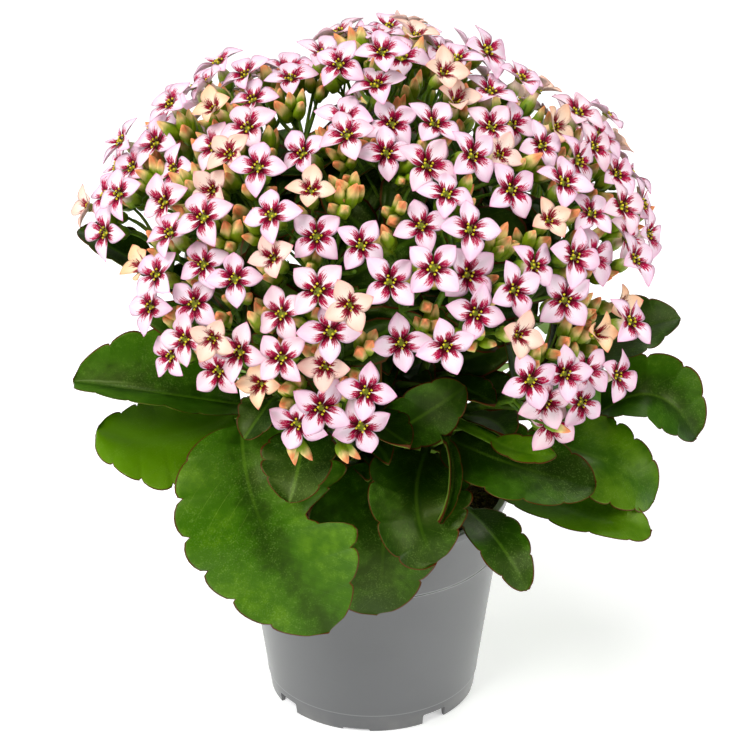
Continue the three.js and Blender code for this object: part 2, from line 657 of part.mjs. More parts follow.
// A bud between the blooms of a head, if there is room for it
function setBud(one, k, opened, budded) {
  const { head, random } = one;
  const draws = Array.from({ length: 5 }, random);
  const steps = (k * head.blooms) / (bud.tries * head.buds) + 0.8;
  const ground = placeOf(one, steps, one.phase + (k + 0.5) * golden);
  const normal = facingAt(ground, one.middle, draws.slice(0, 3));
  const tip = ground.clone().addScaledVector(normal, bud.rise * draws[3] - bud.sink);
  const below = (share) => tip.clone().addScaledVector(normal, -share * bud.length);
  const path = [0, 0.25, 0.5, 0.75, 1].map(below);
  const free = opened.every((b) => b.centre.distanceTo(tip) > clear.near || !crosses(b, path))
    && budded.every((other) => other.tip.distanceTo(tip) > clear.buds);
  if (!free) return;
  const made = { tip, normal, length: bud.length * (0.8 + 0.4 * draws[4]) };
  budded.push(made);
  one.buds.push(made);
}

// Opens the blooms of every head in turn, then sets its buds between them
function growHeads() {
  const opened = [];
  const budded = [];
  const grown = heads.map((head, index) => {
    const direction = outward(head.az, head.tilt);
    const random = makeRandom(seeds.first + index * seeds.step);
    const [u, v] = across(direction);
    const middle = onDome(direction, head.reach);
    const phase = random() * 2 * Math.PI;
    const one = { head, random, u, v, middle, phase, blooms: [], buds: [] };
    for (let k = 0; k < head.blooms; k++) openBloom(one, k, opened);
    return one;
  });
  grown.forEach((one) => {
    const { buds } = one.head;
    const tries = bud.tries * buds;
    for (let k = 0; k < tries && one.buds.length < buds; k++) setBud(one, k, opened, budded);
  });
  return grown;
}

// A bloom: a four-petalled star with a knife edge, drawn down into a three-sided neck and stalk
function bloomSolid(b, root) {
  const place = (r, turn, height) => b.centre.clone()
    .addScaledVector(b.u, r * Math.cos(turn))
    .addScaledVector(b.v, r * Math.sin(turn))
    .addScaledVector(b.normal, height);
  const wide = radians(bloom.wideTurn);
  const outline = [0, 1, 2, 3].flatMap((k) => {
    const turn = b.spin + (k * Math.PI) / 2;
    const out = b.radius * Math.cos(b.cup);
    const rise = b.radius * Math.sin(b.cup);
    const edge = (share, at) => place(share * out, at, share * rise);
    return [
      edge(bloom.notch, turn - Math.PI / 4), edge(bloom.wide, turn - wide), edge(1, turn),
      edge(bloom.wide, turn + wide),
    ];
  });
  const count = outline.length;
  const rise = b.centre.clone().sub(root).normalize();
  const neckAxis = rise.clone().add(b.normal).normalize();
  const phase = b.spin + Math.PI / 4;
  const neck = ringOf(place(0, 0, -bloom.neck), across(neckAxis, b.u), bloom.throat, 3, phase);
  const foot = ringOf(root, across(rise, b.u), bloom.root, 3, phase);
  const nearest = outline.map((p) => (
    neck.reduce((best, q, k) => (p.distanceTo(q) < p.distanceTo(neck[best]) ? k : best), 0)));
  const corners = [outline[0], outline[4], outline[8], outline[0], outline[8], outline[12]];
  for (let k = 0; k < count; k++) {
    const next = (k + 1) % count;
    const notchBefore = outline[k - (k % 4)];
    if (k % 4) corners.push(notchBefore, outline[k], outline[next]);
    corners.push(outline[next], outline[k], neck[nearest[k]]);
    if (nearest[k] !== nearest[next]) {
      corners.push(outline[next], neck[nearest[k]], neck[nearest[next]]);
    }
  }
  for (let k = 0; k < 3; k++) {
    const next = (k + 1) % 3;
    corners.push(neck[k], foot[k], foot[next], neck[k], foot[next], neck[next]);
  }
  corners.push(foot[0], foot[2], foot[1]);
  return bodyOf(corners);
}

// A bud: a pointed urn that tapers to its three-sided stalk
function budSolid(one, root) {
  const belly = one.tip.clone().addScaledVector(one.normal, -one.length * (1 - bud.belly));
  const rise = belly.clone().sub(root).normalize();
  const directions = across(rise.clone().add(one.normal).normalize());
  const foot = ringOf(root, across(rise, directions[0]), bud.root, 3);
  return loft([foot, ringOf(belly, directions, bud.radius, 3), [one.tip]]);
}

// A head: its stalk, its branches and what grows from them, each at its own place along the nearest
// branch, with what spreads widest rooted deepest
function makeHead({ head, middle, u, v, blooms, buds }) {
  const curve = shootCurve(head);
  const tip = curve.getPoint(1);
  const last = curve.getPoint(1 - 1 / (shoot.radius.length - 1));
  const way = tip.clone().sub(last).normalize();
  const start = tip.clone().addScaledVector(way, seatGap);
  const knee = tip.clone().addScaledVector(way, stalk.knee);
  const hub = tip.clone().lerp(middle, stalk.hub);
  const pieces = [];
  const branches = Array.from({ length: stalk.arms }, (_, k) => {
    const turn = (2 * Math.PI * (k + 0.5)) / stalk.arms;
    const from = knee.clone().lerp(hub, 1 - stalk.fork * k);
    const to = tip.clone().lerp(middle, stalk.arm)
      .addScaledVector(u, stalk.spread * Math.cos(turn))
      .addScaledVector(v, stalk.spread * Math.sin(turn));
    if (k === 0) {
      const { radius, thick, thin } = stalk;
      pieces.push(stemAlong([start, knee, from, to], [radius, radius, thick, thin], stalk.sides));
    } else {
      pieces.push(stemAlong([from, to], [stalk.thin * 0.5, stalk.thin], 3));
    }
    return { from, to, growth: [] };
  });
  const nearest = (place) => branches.reduce((best, branch) => (
    branch.to.distanceTo(place) < best.to.distanceTo(place) ? branch : best));
  const root = (top, solid) => nearest(top).growth.push({ top, solid });
  blooms.forEach((b) => root(b.centre, (foot) => bloomSolid(b, foot)));
  buds.forEach((one) => root(one.tip, (foot) => budSolid(one, foot)));
  branches.forEach(({ from, to, growth }) => {
    const axis = to.clone().sub(from).normalize();
    const pitch = Math.min(stalk.pitch, (stalk.filled * from.distanceTo(to)) / growth.length);
    const aside = (place) => place.clone().sub(to).cross(axis).length();
    growth.sort((a, b) => aside(b.top) - aside(a.top));
    growth.forEach(({ solid }, k) => {
      pieces.push(solid(to.clone().addScaledVector(axis, -1 - pitch * (growth.length - 1 - k))));
    });
  });
  return largest(joined(pieces).simplify(stalk.smooth));
}

const colours = { pot: 0x77787b, soil: 0x2c1f16, stem: 0x5d7d2c, leaf: 0x2f5f14, bloom: 0xf2d3e4 };

function meshOf(name, solid, colour, roughness) {
  const material = new THREE.MeshStandardMaterial({ color: colour, roughness, metalness: 0 });
  const mesh = new THREE.Mesh(toGeometry(solid), material);
  mesh.name = name;
  return mesh;
}

const plant = new THREE.Group();
plant.add(meshOf('pot', makePot(), colours.pot, 0.45));
plant.add(meshOf('soil', makeSoil(), colours.soil, 0.95));
const stem = makeStem();
plant.add(meshOf('stem', stem, colours.stem, 0.6));
leaves.forEach((leaf) => {
  plant.add(meshOf(`leaf_${leaf.name}`, makeLeaf(leaf, stem), colours.leaf, 0.4));
});
growHeads().forEach((one) => {
  plant.add(meshOf(`head_${one.head.name}`, makeHead(one), colours.bloom, 0.55));
});

export default plant;
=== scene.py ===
import math

import bpy
import numpy as np
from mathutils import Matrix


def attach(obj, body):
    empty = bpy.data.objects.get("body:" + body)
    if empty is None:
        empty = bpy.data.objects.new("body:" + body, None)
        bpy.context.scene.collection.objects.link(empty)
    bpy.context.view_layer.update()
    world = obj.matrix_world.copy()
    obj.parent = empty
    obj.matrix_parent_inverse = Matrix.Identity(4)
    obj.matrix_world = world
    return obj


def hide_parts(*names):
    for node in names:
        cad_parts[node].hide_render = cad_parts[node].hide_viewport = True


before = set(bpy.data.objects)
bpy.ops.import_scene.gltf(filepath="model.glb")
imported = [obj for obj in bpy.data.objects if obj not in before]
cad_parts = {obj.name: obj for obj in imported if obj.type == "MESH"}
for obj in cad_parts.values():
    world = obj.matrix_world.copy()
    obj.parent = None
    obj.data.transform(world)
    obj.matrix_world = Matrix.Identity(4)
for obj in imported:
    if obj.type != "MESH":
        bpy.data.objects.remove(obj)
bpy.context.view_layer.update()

# A flowering kalanchoe in a grey nursery pot. Lengths are written in millimetres and turned into metres
# as each mesh is made. The front of the plant faces -Y, and azimuths run from there towards +X.
mm = 0.001
golden = math.pi * (3 - math.sqrt(5))


# Small tools for points
def vec(*xyz):
    return np.array(xyz, float)


def unit(v):
    return v / np.linalg.norm(v)


def mix(a, b, share):
    return a + (b - a) * share


def smooth(low, high, x):
    share = np.clip((x - low) / (high - low), 0, 1)
    return share * share * (3 - 2 * share)


def outward(az, tilt):
    a, t = math.radians(az), math.radians(tilt)
    return vec(math.sin(a) * math.sin(t), -math.cos(a) * math.sin(t), math.cos(t))


def makeRandom(seed):
    state = seed

    def draw():
        nonlocal state
        state = state * 16807 % 2147483647
        return state / 2147483647

    return draw


def across(axis):
    helper = vec(1, 0, 0) if abs(axis[2]) > 0.9 else vec(0, 0, 1)
    u = unit(np.cross(helper, axis))
    return u, np.cross(axis, u)


def bezier(points, t):
    while len(points) > 1:
        points = [mix(a, b, t) for a, b in zip(points, points[1:])]
    return points[0]


# A closed skin through rings with the same number of points; an end may be a single point
def loft(rings):
    points, faces, first = [], [], 0
    for i, ring in enumerate(rings):
        points.extend(ring)
        if i:
            a, b = len(rings[i - 1]), len(ring)
            for k in range(max(a, b)):
                n = (k + 1) % max(a, b)
                low = [first + k % a] if a == 1 else [first + k, first + n]
                high = [first + a + k % b] if b == 1 else [first + a + n, first + a + k]
                faces.append(low + high)
            first += a
    if len(rings[0]) > 1:
        faces.append(list(range(len(rings[0])))[::-1])
    if len(rings[-1]) > 1:
        faces.append([first + k for k in range(len(rings[-1]))])
    return np.array(points), faces


# The faces of a closed skin, turned to look outwards
def facingOut(points, faces):
    points = points - points.mean(0)
    total = 0.0
    for face in faces:
        for i in range(1, len(face) - 1):
            total += points[face[0]].dot(np.cross(points[face[i]], points[face[i + 1]]))
    return [face[::-1] for face in faces] if total < 0 else faces


def linked(name, data):
    made = bpy.data.objects.new(name, data)
    bpy.context.scene.collection.objects.link(made)
    return made


# A mesh object in metres from points in millimetres, facing outwards, with float or vector attributes
def meshObject(name, points, faces, attributes=None, scale=mm, material=None):
    points = np.asarray(points, float)
    mesh = bpy.data.meshes.new(name)
    mesh.from_pydata((points * scale).tolist(), [], facingOut(points, faces))
    for key, values in (attributes or {}).items():
        values = np.asarray(values, np.float32)
        kind, field = ("FLOAT_VECTOR", "vector") if values.ndim == 2 else ("FLOAT", "value")
        mesh.attributes.new(key, kind, "POINT").data.foreach_set(field, values.ravel())
    mesh.shade_smooth()
    if material:
        mesh.materials.append(material)
    mesh.validate()
    return linked(name, mesh)


# A plain mesh of what an object's modifiers make of it
def meshOf(source):
    bpy.context.view_layer.update()
    return bpy.data.meshes.new_from_object(source.evaluated_get(bpy.context.evaluated_depsgraph_get()))


# Turns a profile of (radius, height) round the upright axis
def turned(profile, sides):
    rings = []
    for radius, height in profile:
        if radius == 0:
            rings.append([vec(0, 0, height)])
            continue
        turns = np.arange(sides) * 2 * math.pi / sides
        rings.append(np.stack([radius * np.sin(turns), -radius * np.cos(turns), np.full(sides, height)], 1))
    return loft(rings)


# Node trees
# A Python operator on a node's output adds a Math node
def operator(operation, swapped=False):
    def laid(wire, other):
        return wire.bench.math(operation, *((other, wire) if swapped else (wire, other)))

    return laid


# A node's output
class Wire:
    __add__, __radd__ = operator("ADD"), operator("ADD", True)
    __sub__, __rsub__ = operator("SUBTRACT"), operator("SUBTRACT", True)
    __mul__, __rmul__ = operator("MULTIPLY"), operator("MULTIPLY", True)
    __pow__ = operator("POWER")

    def __init__(self, bench, socket):
        self.bench, self.socket = bench, socket

    def __abs__(self):
        return self.bench.math("ABSOLUTE", self)


# A node tree, with one method that lays any node in it
class Bench:
    def __init__(self, tree):
        self.tree = tree

    def lay(self, kind, sockets=None, out=0, **settings):
        node = self.tree.nodes.new(kind)
        for key, value in settings.items():
            setattr(node, key, value)
        for key, value in (sockets or {}).items():
            socket = self.pick(node.inputs, key)
            if isinstance(value, Wire):
                self.tree.links.new(value.socket, socket)
            else:
                socket.default_value = (*value, 1) if socket.type == "RGBA" else value
        return Wire(self, self.pick(node.outputs, out)) if len(node.outputs) else None

    def pick(self, sockets, key):
        shown = [socket for socket in sockets if socket.enabled]
        if isinstance(key, int):
            return shown[key]
        return next(socket for socket in shown if socket.name == key)

    def math(self, operation, *values):
        return self.lay("ShaderNodeMath", dict(enumerate(values)), operation=operation)

    def vector(self, operation, *values):
        return self.lay("ShaderNodeVectorMath", dict(enumerate(values)), "Vector", operation=operation)

    def split(self, vector):
        return [self.lay("ShaderNodeSeparateXYZ", {"Vector": vector}, axis) for axis in "XYZ"]

    # 0 below low, 1 above high, and a smooth rise between them; the other way round if low is the larger
    def rise(self, value, low, high):
        return self.lay("ShaderNodeMapRange", {"Value": value, "From Min": low, "From Max": high},
                        interpolation_type="SMOOTHSTEP")


# Materials
# A material's own bench: Principled settings that are the same all over go straight on the shader's sockets
class Finish(Bench):
    def __init__(self, name, look=None, **constants):
        self.look = look
        self.material = bpy.data.materials.new(name)
        self.material.use_nodes = True
        super().__init__(self.material.node_tree)
        self.shader = self.tree.nodes["Principled BSDF"]
        for key, value in constants.items():
            self.shader.inputs[key.replace("_", " ")].default_value = value

    def show(self, **sockets):
        for key, value in sockets.items():
            self.tree.links.new(value.socket, self.shader.inputs[key.replace("_", " ")])
        return self.material

    def place(self):
        return self.lay("ShaderNodeTexCoord", out="Object")

    def mark(self, name, out="Fac"):
        return self.lay("ShaderNodeAttribute", out=out, attribute_type="GEOMETRY", attribute_name=name)

    # the scale is one number, or three that stretch the noise
    def noise(self, at, scale, detail, rough):
        if isinstance(scale, tuple):
            at, scale = self.vector("MULTIPLY", at, scale), 1.0
        return self.lay("ShaderNodeTexNoise", {
            "Vector": at, "Scale": scale, "Detail": detail, "Roughness": rough})

    # a colour is another blend, or the name of one of the finish's own
    def blend(self, share, *two):
        a, b = [self.look[colour] if isinstance(colour, str) else colour for colour in two]
        return self.lay("ShaderNodeMix", {"Factor": share, "A": a, "B": b}, "Result", data_type="RGBA")

    def relief(self, height, depth, strength):
        return self.lay("ShaderNodeBump", {
            "Strength": strength, "Distance": depth * mm, "Height": height}, "Normal")


# Linear colours from sRGB bytes
def colours(**shades):
    def linear(share):
        return share / 12.92 if share <= 0.04045 else ((share + 0.055) / 1.055) ** 2.4

    return {name: tuple(linear(c / 255) for c in shade) for name, shade in shades.items()}


def potPlastic():
    look = colours(grey=(80, 81, 83), worn=(96, 97, 99), dust=(150, 146, 140), edge=(176, 177, 180))
    # two moulded edges get a painted highlight, a band of the pale edge colour: the height in metres, half
    # width and strength of each glint
    paintedGlints = {"bead": (0.0719, 0.0007, 0.55), "ledge": (0.0086, 0.0005, 0.25)}
    f = Finish("satinGreyPlastic", look, IOR=1.6, Coat_Weight=0.6, Coat_Roughness=0.22)
    at = f.place()
    clouds = f.noise(at, 26, 4, 0.6)
    grain = f.noise(at, 1500, 2, 0.5)
    scuffs = f.noise(at, (90, 90, 700), 3, 0.7)
    height = f.split(at)[2]
    worn = f.rise(scuffs, 0.62, 0.75) * 0.25 + f.rise(clouds, 0.35, 0.75) * 0.22
    dusty = f.rise(height, 0.012, 0.0) * f.rise(clouds, 0.4, 0.7) * 0.35
    colour = f.blend(dusty, f.blend(worn, "grey", "worn"), "dust")
    # the painted highlights along the bead and the ledge
    for edge, wide, glint in paintedGlints.values():
        colour = f.blend(f.rise(abs(height - edge), wide, wide * 0.4) * glint, colour, "edge")
    rough = 0.36 + 0.12 * clouds + 0.1 * f.rise(scuffs, 0.6, 0.8)
    return f.show(Base_Color=colour, Roughness=rough, Normal=f.relief(grain + scuffs * 0.5, 0.035, 0.5))


def pottingMix():
    look = colours(wet=(28, 18, 12), dry=(84, 60, 42), fibre=(128, 100, 72))
    f = Finish("pottingMix", look, Specular_IOR_Level=0.3)
    at = f.place()
    crumbs = f.noise(at, 420, 6, 0.65)
    patches = f.noise(at, 60, 3, 0.5)
    fibres = f.noise(at, (300, 1400, 500), 2, 0.5)
    earth = f.blend(f.rise(crumbs + patches * 0.4, 0.55, 0.85), "wet", "dry")
    colour = f.blend(f.rise(fibres, 0.66, 0.72), earth, "fibre")
    return f.show(Base_Color=colour, Roughness=0.85 + 0.1 * patches, Normal=f.relief(crumbs, 1.2, 0.9))


def stemSkin():
    look = colours(green=(104, 132, 48), deep=(52, 84, 24), bark=(104, 82, 54))
    f = Finish("stemSkin", look, Specular_IOR_Level=0.45)
    at = f.place()
    mottled = f.noise(at, 160, 4, 0.6)
    streaks = f.noise(at, (900, 900, 110), 3, 0.6)
    woody = f.rise(f.split(at)[2] + mottled * 0.03, 0.138, 0.098)
    green = f.blend(f.rise(mottled, 0.3, 0.75), "deep", "green")
    colour = f.blend(woody * 0.8, green, "bark")
    ridges = f.relief(streaks + mottled * 0.5, 0.25, 0.6)
    return f.show(Base_Color=colour, Roughness=0.5 + 0.2 * woody, Normal=ridges)


def leafSkin():
    look = colours(deep=(20, 50, 0), green=(46, 90, 0), bright=(80, 122, 0), bloom=(100, 138, 42),
                   under=(112, 146, 52), margin=(84, 26, 12), rib=(92, 134, 24), fleck=(142, 176, 84))
    f = Finish("waxyLeaf", look, Specular_IOR_Level=0.3, Specular_Tint=(0.8, 1.0, 0.2, 1),
               Coat_Roughness=0.22)
    at = f.place()
    top, rim, tone, along = f.mark("top"), f.mark("rim"), f.mark("tone"), f.mark("run")
    off = abs(f.mark("aside"))
    clouds = f.noise(at, 34, 3, 0.55)
    cells = f.noise(at, 190, 4, 0.6)
    fine = f.noise(at, 1500, 2, 0.5)
    swells = f.noise(at, 62, 2, 0.4)
    # a leaf's tone makes its green lighter or darker, which paints in part of the light and shade that falls
    # on it
    # painted shade: the green is darker towards the rib and lighter out on the lobe
    light = f.rise(clouds * 0.56 + cells * 0.44 + tone + f.rise(off, 0, 14) * 0.2, 0.38, 1.2)
    green = f.blend(f.rise(light, 0.0, 0.55), "deep", "green")
    green = f.blend(f.rise(light, 0.5, 1.0), green, "bright")
    waves = abs(f.math("SINE", (along - off * 0.9) * 0.42))
    veins = f.rise(waves, 0.1, 0.0) * f.rise(off, 1.0, 5.0)
    green = f.blend(veins * 0.16, green, "bright")
    ribbed = f.rise(off, 1.1, 0.2) * f.rise(along, 62, 5)
    green = f.blend(ribbed * 0.4, green, "rib")
    # a thin mealy bloom in patches, and pale flecks
    mealy = f.rise(clouds + cells * 0.5, 0.72, 0.98) * 0.14
    flecks = f.rise(fine, 0.5, 0.72) * f.rise(cells + swells, 0.8, 1.2) * 0.18
    upper = f.blend(flecks, f.blend(mealy, green, "bloom"), "fleck")
    lower = f.blend(0.35 * cells + 0.15 * light, "under", "bloom")
    ragged = rim + (cells - 0.5) * 0.5
    colour = f.blend(f.rise(ragged, 0.85, 0.35), f.blend(top, lower, upper), "margin")
    rough = 0.34 + 0.2 * mealy + 0.16 * clouds + (1 - top) * 0.16
    bumps = f.relief(cells * 0.5 + fine * 0.16 + swells * 2.6 - veins * 0.25 * top, 0.3, 0.6)
    return f.show(Base_Color=colour, Roughness=rough, Coat_Weight=top * 0.06, Normal=bumps)


# Petals: white with lilac margins and two crimson brush strokes from the throat, or cream and salmon if old
def petalSkin():
    look = colours(white=(242, 225, 234), lilac=(238, 194, 216), edge=(222, 116, 168), crimson=(174, 0, 64),
                   throat=(72, 0, 16), cream=(252, 226, 192), salmon=(250, 196, 146), oldTip=(232, 124, 92),
                   oldInk=(128, 16, 28), under=(240, 208, 226), underThroat=(208, 214, 150))
    f = Finish("petalSkin", look, Specular_IOR_Level=0.08)
    aside, along, top = f.split(f.mark("mark", "Vector"))
    fade, luck = f.mark("fade"), f.mark("luck")
    off = abs(aside)
    clouds = f.noise(f.place(), 90, 2, 0.5)
    own = f.lay("ShaderNodeCombineXYZ", {"X": aside * 6.5 + luck * 40, "Y": along * 1.1, "Z": luck * 90})
    bristles = f.noise(own, 1.9, 3, 0.65)
    hairs = f.noise(own, (5.2, 4.8, 2), 2, 0.6)
    pinkness = f.rise(along * 0.7 + off * 0.35 + clouds * 0.25, 0.42, 1.05) * (0.75 + 0.45 * luck)
    fresh = f.blend(pinkness, "white", "lilac")
    fresh = f.blend(f.rise(along, 0.9, 1.0) * 0.75 + f.rise(off, 0.93, 1.0) * 0.35, fresh, "edge")
    old = f.blend(f.rise(along + off * 0.2 + clouds * 0.3, 0.5, 1.15), "cream", "salmon")
    old = f.blend(f.rise(along, 0.86, 1.0), old, "oldTip")
    # each stroke is widest near the throat and ends in bristles short of half the petal's length, with a few
    # loose dots beyond them
    reach = 0.51 - 0.8 * (off - 0.55) ** 2 + (bristles - 0.5) * 0.9 - fade * 0.08 + (luck - 0.5) * 0.1
    stroke = f.rise(reach - along, -0.01, 0.035)
    ribFree = f.rise(off - (along - 0.18) * 0.6, 0.0, 0.08)
    marginFree = f.rise(off * f.rise(along, 0.12, 0.34), 0.95, 0.84)
    split = f.rise(hairs - along * 0.55, 0.13, 0.22)
    specks = f.noise(own, (2.99, 20.7, 2.3), 1, 0.4)
    dots = f.rise(specks, 0.68, 0.72) * f.rise(along, 0.66, 0.56) * 0.8
    painted = f.math("MAXIMUM", stroke * split, dots) * ribFree * marginFree
    ink = f.blend(f.rise(along, 0.42, 0.14), "crimson", "throat")
    ink = f.blend(fade * 0.8, ink, "oldInk")
    shown = f.blend(painted, f.blend(fade, fresh, old), ink)
    below = f.blend(fade * 0.7, "under", "cream")
    below = f.blend(f.rise(along, 0.45, 0.1) * 0.5, below, "underThroat")
    veins = f.relief(f.noise(own, (8, 1, 2), 2, 0.5), 0.16, 0.5)
    return f.show(Base_Color=f.blend(top, below, shown), Roughness=0.5 + 0.15 * clouds, Normal=veins)


# Corolla tubes and their calyx: green and swollen below, drawn into a pale pink neck under the petals
def tubeSkin():
    look = colours(green=(136, 160, 40), deep=(84, 122, 20), neck=(240, 212, 196), old=(240, 200, 146))
    f = Finish("corollaTube", look, Specular_IOR_Level=0.25)
    _, along, _ = f.split(f.mark("mark", "Vector"))
    streaks = f.noise(f.place(), (700, 700, 160), 3, 0.6)
    green = f.blend(f.rise(along + streaks * 0.5, 0.2, 0.9), "deep", "green")
    neck = f.blend(f.mark("fade"), "neck", "old")
    colour = f.blend(f.rise(along + (streaks - 0.5) * 0.3, 0.52, 0.84), green, neck)
    return f.show(Base_Color=colour, Roughness=0.45 + 0.1 * streaks, Normal=f.relief(streaks, 0.2, 0.5))


# Buds: green urns whose folded petals show salmon at the tip
def budSkin():
    look = colours(green=(128, 156, 14), deep=(80, 118, 4), cream=(246, 214, 140), salmon=(246, 146, 96))
    f = Finish("budSkin", look, Specular_IOR_Level=0.25)
    seam, along, _ = f.split(f.mark("mark", "Vector"))
    streaks = f.noise(f.place(), (600, 600, 200), 3, 0.6)
    green = f.blend(f.rise(along + streaks * 0.6, 0.2, 0.8), "deep", "green")
    height = along + f.mark("fade") * 0.26 + (streaks - 0.5) * 0.28
    warm = f.blend(f.rise(height, 0.6, 0.86), green, "cream")
    warm = f.blend(f.rise(height, 0.8, 1.06), warm, "salmon")
    colour = f.blend(seam * 0.3 * f.rise(along, 0.3, 0.6), warm, "deep")
    return f.show(Base_Color=colour, Roughness=0.42 + 0.12 * streaks, Normal=f.relief(streaks, 0.2, 0.5))


def stalkSkin():
    look = colours(green=(100, 134, 24), deep=(50, 88, 10), flush=(146, 112, 50))
    f = Finish("stalkSkin", look, Specular_IOR_Level=0.25)
    at = f.place()
    mottled = f.noise(at, 240, 3, 0.6)
    patches = f.noise(at, 45, 2, 0.5)
    green = f.blend(f.rise(mottled, 0.3, 0.7), "deep", "green")
    colour = f.blend(f.rise(patches, 0.6, 0.75) * 0.35, green, "flush")
    return f.show(Base_Color=colour, Roughness=0.45 + 0.15 * mottled, Normal=f.relief(mottled, 0.2, 0.5))


def stamenSkin():
    look = colours(disc=(120, 128, 22), pollen=(214, 200, 40), dark=(84, 60, 18))
    f = Finish("stamenSkin", look, Specular_IOR_Level=0.3)
    ripe, raised, _ = f.split(f.mark("mark", "Vector"))
    grain = f.noise(f.place(), 2600, 2, 0.5)
    anther = f.blend(f.rise(ripe, 0.3, 0.7), "dark", "pollen")
    colour = f.blend(f.rise(raised + grain * 0.2, 0.45, 0.7), "disc", anther)
    return f.show(Base_Color=colour, Roughness=0.55 + 0.2 * grain, Normal=f.relief(grain, 0.1, 0.5))


finishes = {
    "pot": potPlastic(), "soil": pottingMix(), "stem": stemSkin(), "leaf": leafSkin(), "petal": petalSkin(),
    "tube": tubeSkin(), "bud": budSkin(), "stalk": stalkSkin(), "stamen": stamenSkin(),
}
print("materials made")


# Geometry node trees, which take a mesh, a finish and the named inputs
class Growth(Bench):
    def __init__(self, name, **inputs):
        super().__init__(bpy.data.node_groups.new(name, "GeometryNodeTree"))
        shape, sockets = self.tree.interface, {}
        for label, kind in {"Geometry": "Geometry", **inputs, "Finish": "Material"}.items():
            sockets[label] = shape.new_socket(label, in_out="INPUT", socket_type="NodeSocket" + kind)
        shape.new_socket("Geometry", in_out="OUTPUT", socket_type="NodeSocketGeometry")
        source = self.tree.nodes.new("NodeGroupInput")
        self.given = {label: Wire(self, source.outputs[label]) for label in sockets}
        self.names = {label: socket.identifier for label, socket in sockets.items()}

    def read(self, name, kind="FLOAT"):
        return self.lay("GeometryNodeInputNamedAttribute", {"Name": name}, "Attribute", data_type=kind)

    def part(self):
        return self.lay("GeometryNodeObjectInfo", {"Object": self.given["Part"]}, "Geometry")

    def end(self, geometry):
        done = self.lay("GeometryNodeSetMaterial", {"Geometry": geometry, "Material": self.given["Finish"]})
        self.lay("NodeGroupOutput", {"Geometry": done})
        return self


# Sets a part on every point: the part's own place, in shares of the point's size, is laid out along the
# point's ahead, aside and outward directions, and is cupped, hollowed and bent back at its tip on the way
def partsTree():
    b = Growth("partsOnPoints", Part="Object", Hollow="Float", Bend="Float", Twist="Float")
    placed = b.lay("GeometryNodeInstanceOnPoints", {"Points": b.given["Geometry"], "Instance": b.part()})
    real = b.lay("GeometryNodeRealizeInstances", {"Geometry": placed})
    local, ahead, out, place = [b.read(name, "FLOAT_VECTOR") for name in ("local", "ahead", "out", "seat")]
    cup, size, luck = [b.read(name) for name in ("cup", "size", "luck")]
    x, y, z = b.split(local)
    raised = (y * y * b.given["Hollow"] * (0.6 + 0.8 * luck)
              - x ** 4 * b.given["Bend"] * (0.5 + luck)
              + x * y * b.given["Twist"] * (luck + 0.4))
    away = x * b.math("COSINE", cup) - raised * b.math("SINE", cup)
    height = z + x * b.math("SINE", cup) + raised * b.math("COSINE", cup)
    aside = b.vector("CROSS_PRODUCT", out, ahead)
    for way, amount in ((ahead, away), (aside, y), (out, height)):
        place = b.vector("ADD", place, b.vector("SCALE", way, amount * size))
    return b.end(b.lay("GeometryNodeSetPosition", {"Geometry": real, "Position": place}))


# Draws a round stalk along every line of edges, as thick as its points say
def stalksTree():
    b = Growth("stalksAlongLines", Sides="Int")
    line = b.lay("GeometryNodeMeshToCurve", {"Mesh": b.given["Geometry"]})
    circle = {"Resolution": b.given["Sides"], "Radius": 1.0}
    ring = b.lay("GeometryNodeCurvePrimitiveCircle", circle, "Curve")
    tube = b.lay("GeometryNodeCurveToMesh", {
        "Curve": line, "Profile Curve": ring, "Scale": b.read("girth"), "Fill Caps": True})
    smoothed = b.lay("GeometryNodeSetShadeSmooth", {"Geometry": tube})
    return b.end(b.lay("GeometryNodeRealizeInstances", {"Geometry": smoothed}))


# Strews turned grains of many sizes over a surface
def grainsTree():
    b = Growth("grainsOnSurface", Part="Object", Density="Float", Least="Float", Most="Float", Seed="Int")
    seed = b.given["Seed"]
    scatter = b.lay("GeometryNodeDistributePointsOnFaces", {
        "Mesh": b.given["Geometry"], "Density": b.given["Density"], "Seed": seed}, "Points")
    least, most = [b.lay("ShaderNodeCombineXYZ", {axis: b.given[label] for axis in "XYZ"})
                   for label in ("Least", "Most")]
    spin, size = [
        b.lay("FunctionNodeRandomValue", {"Min": low, "Max": high, "Seed": seed}, "Value",
              data_type="FLOAT_VECTOR") for low, high in (((0, 0, 0), (6.283,) * 3), (least, most))]
    placed = b.lay("GeometryNodeInstanceOnPoints", {
        "Points": scatter, "Instance": b.part(), "Rotation": spin, "Scale": size})
    return b.end(b.lay("GeometryNodeRealizeInstances", {"Geometry": placed}))


trees = {"parts": partsTree(), "stalks": stalksTree(), "grains": grainsTree()}


# Runs a tree on an object, which it uses up, and returns the result as a plain mesh
def grown(source, kind, **values):
    modifier = source.modifiers.new(kind, "NODES")
    modifier.node_group = trees[kind].tree
    for label, value in values.items():
        modifier[trees[kind].names[label]] = value
    source.update_tag()
    mesh = meshOf(source)
    bpy.data.objects.remove(source)
    return mesh


# One object of several meshes, which keep their materials and attributes
def gathered(name, meshes):
    objects = [linked(name, mesh) for mesh in meshes]
    with bpy.context.temp_override(active_object=objects[0], selected_editable_objects=objects):
        bpy.ops.object.join()
    objects[0].name = objects[0].data.name = name
    return objects[0]


def finished(piece, slot, *nodes):
    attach(piece, "root")
    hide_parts(*nodes)


def pointCloud(name, rows):
    columns = {key: np.array([row[key] for row in rows]) for key in rows[0]}
    for key in ("seat", "size"):
        columns[key] = columns[key] * mm
    return meshObject(name, columns["seat"], [], columns, scale=1)


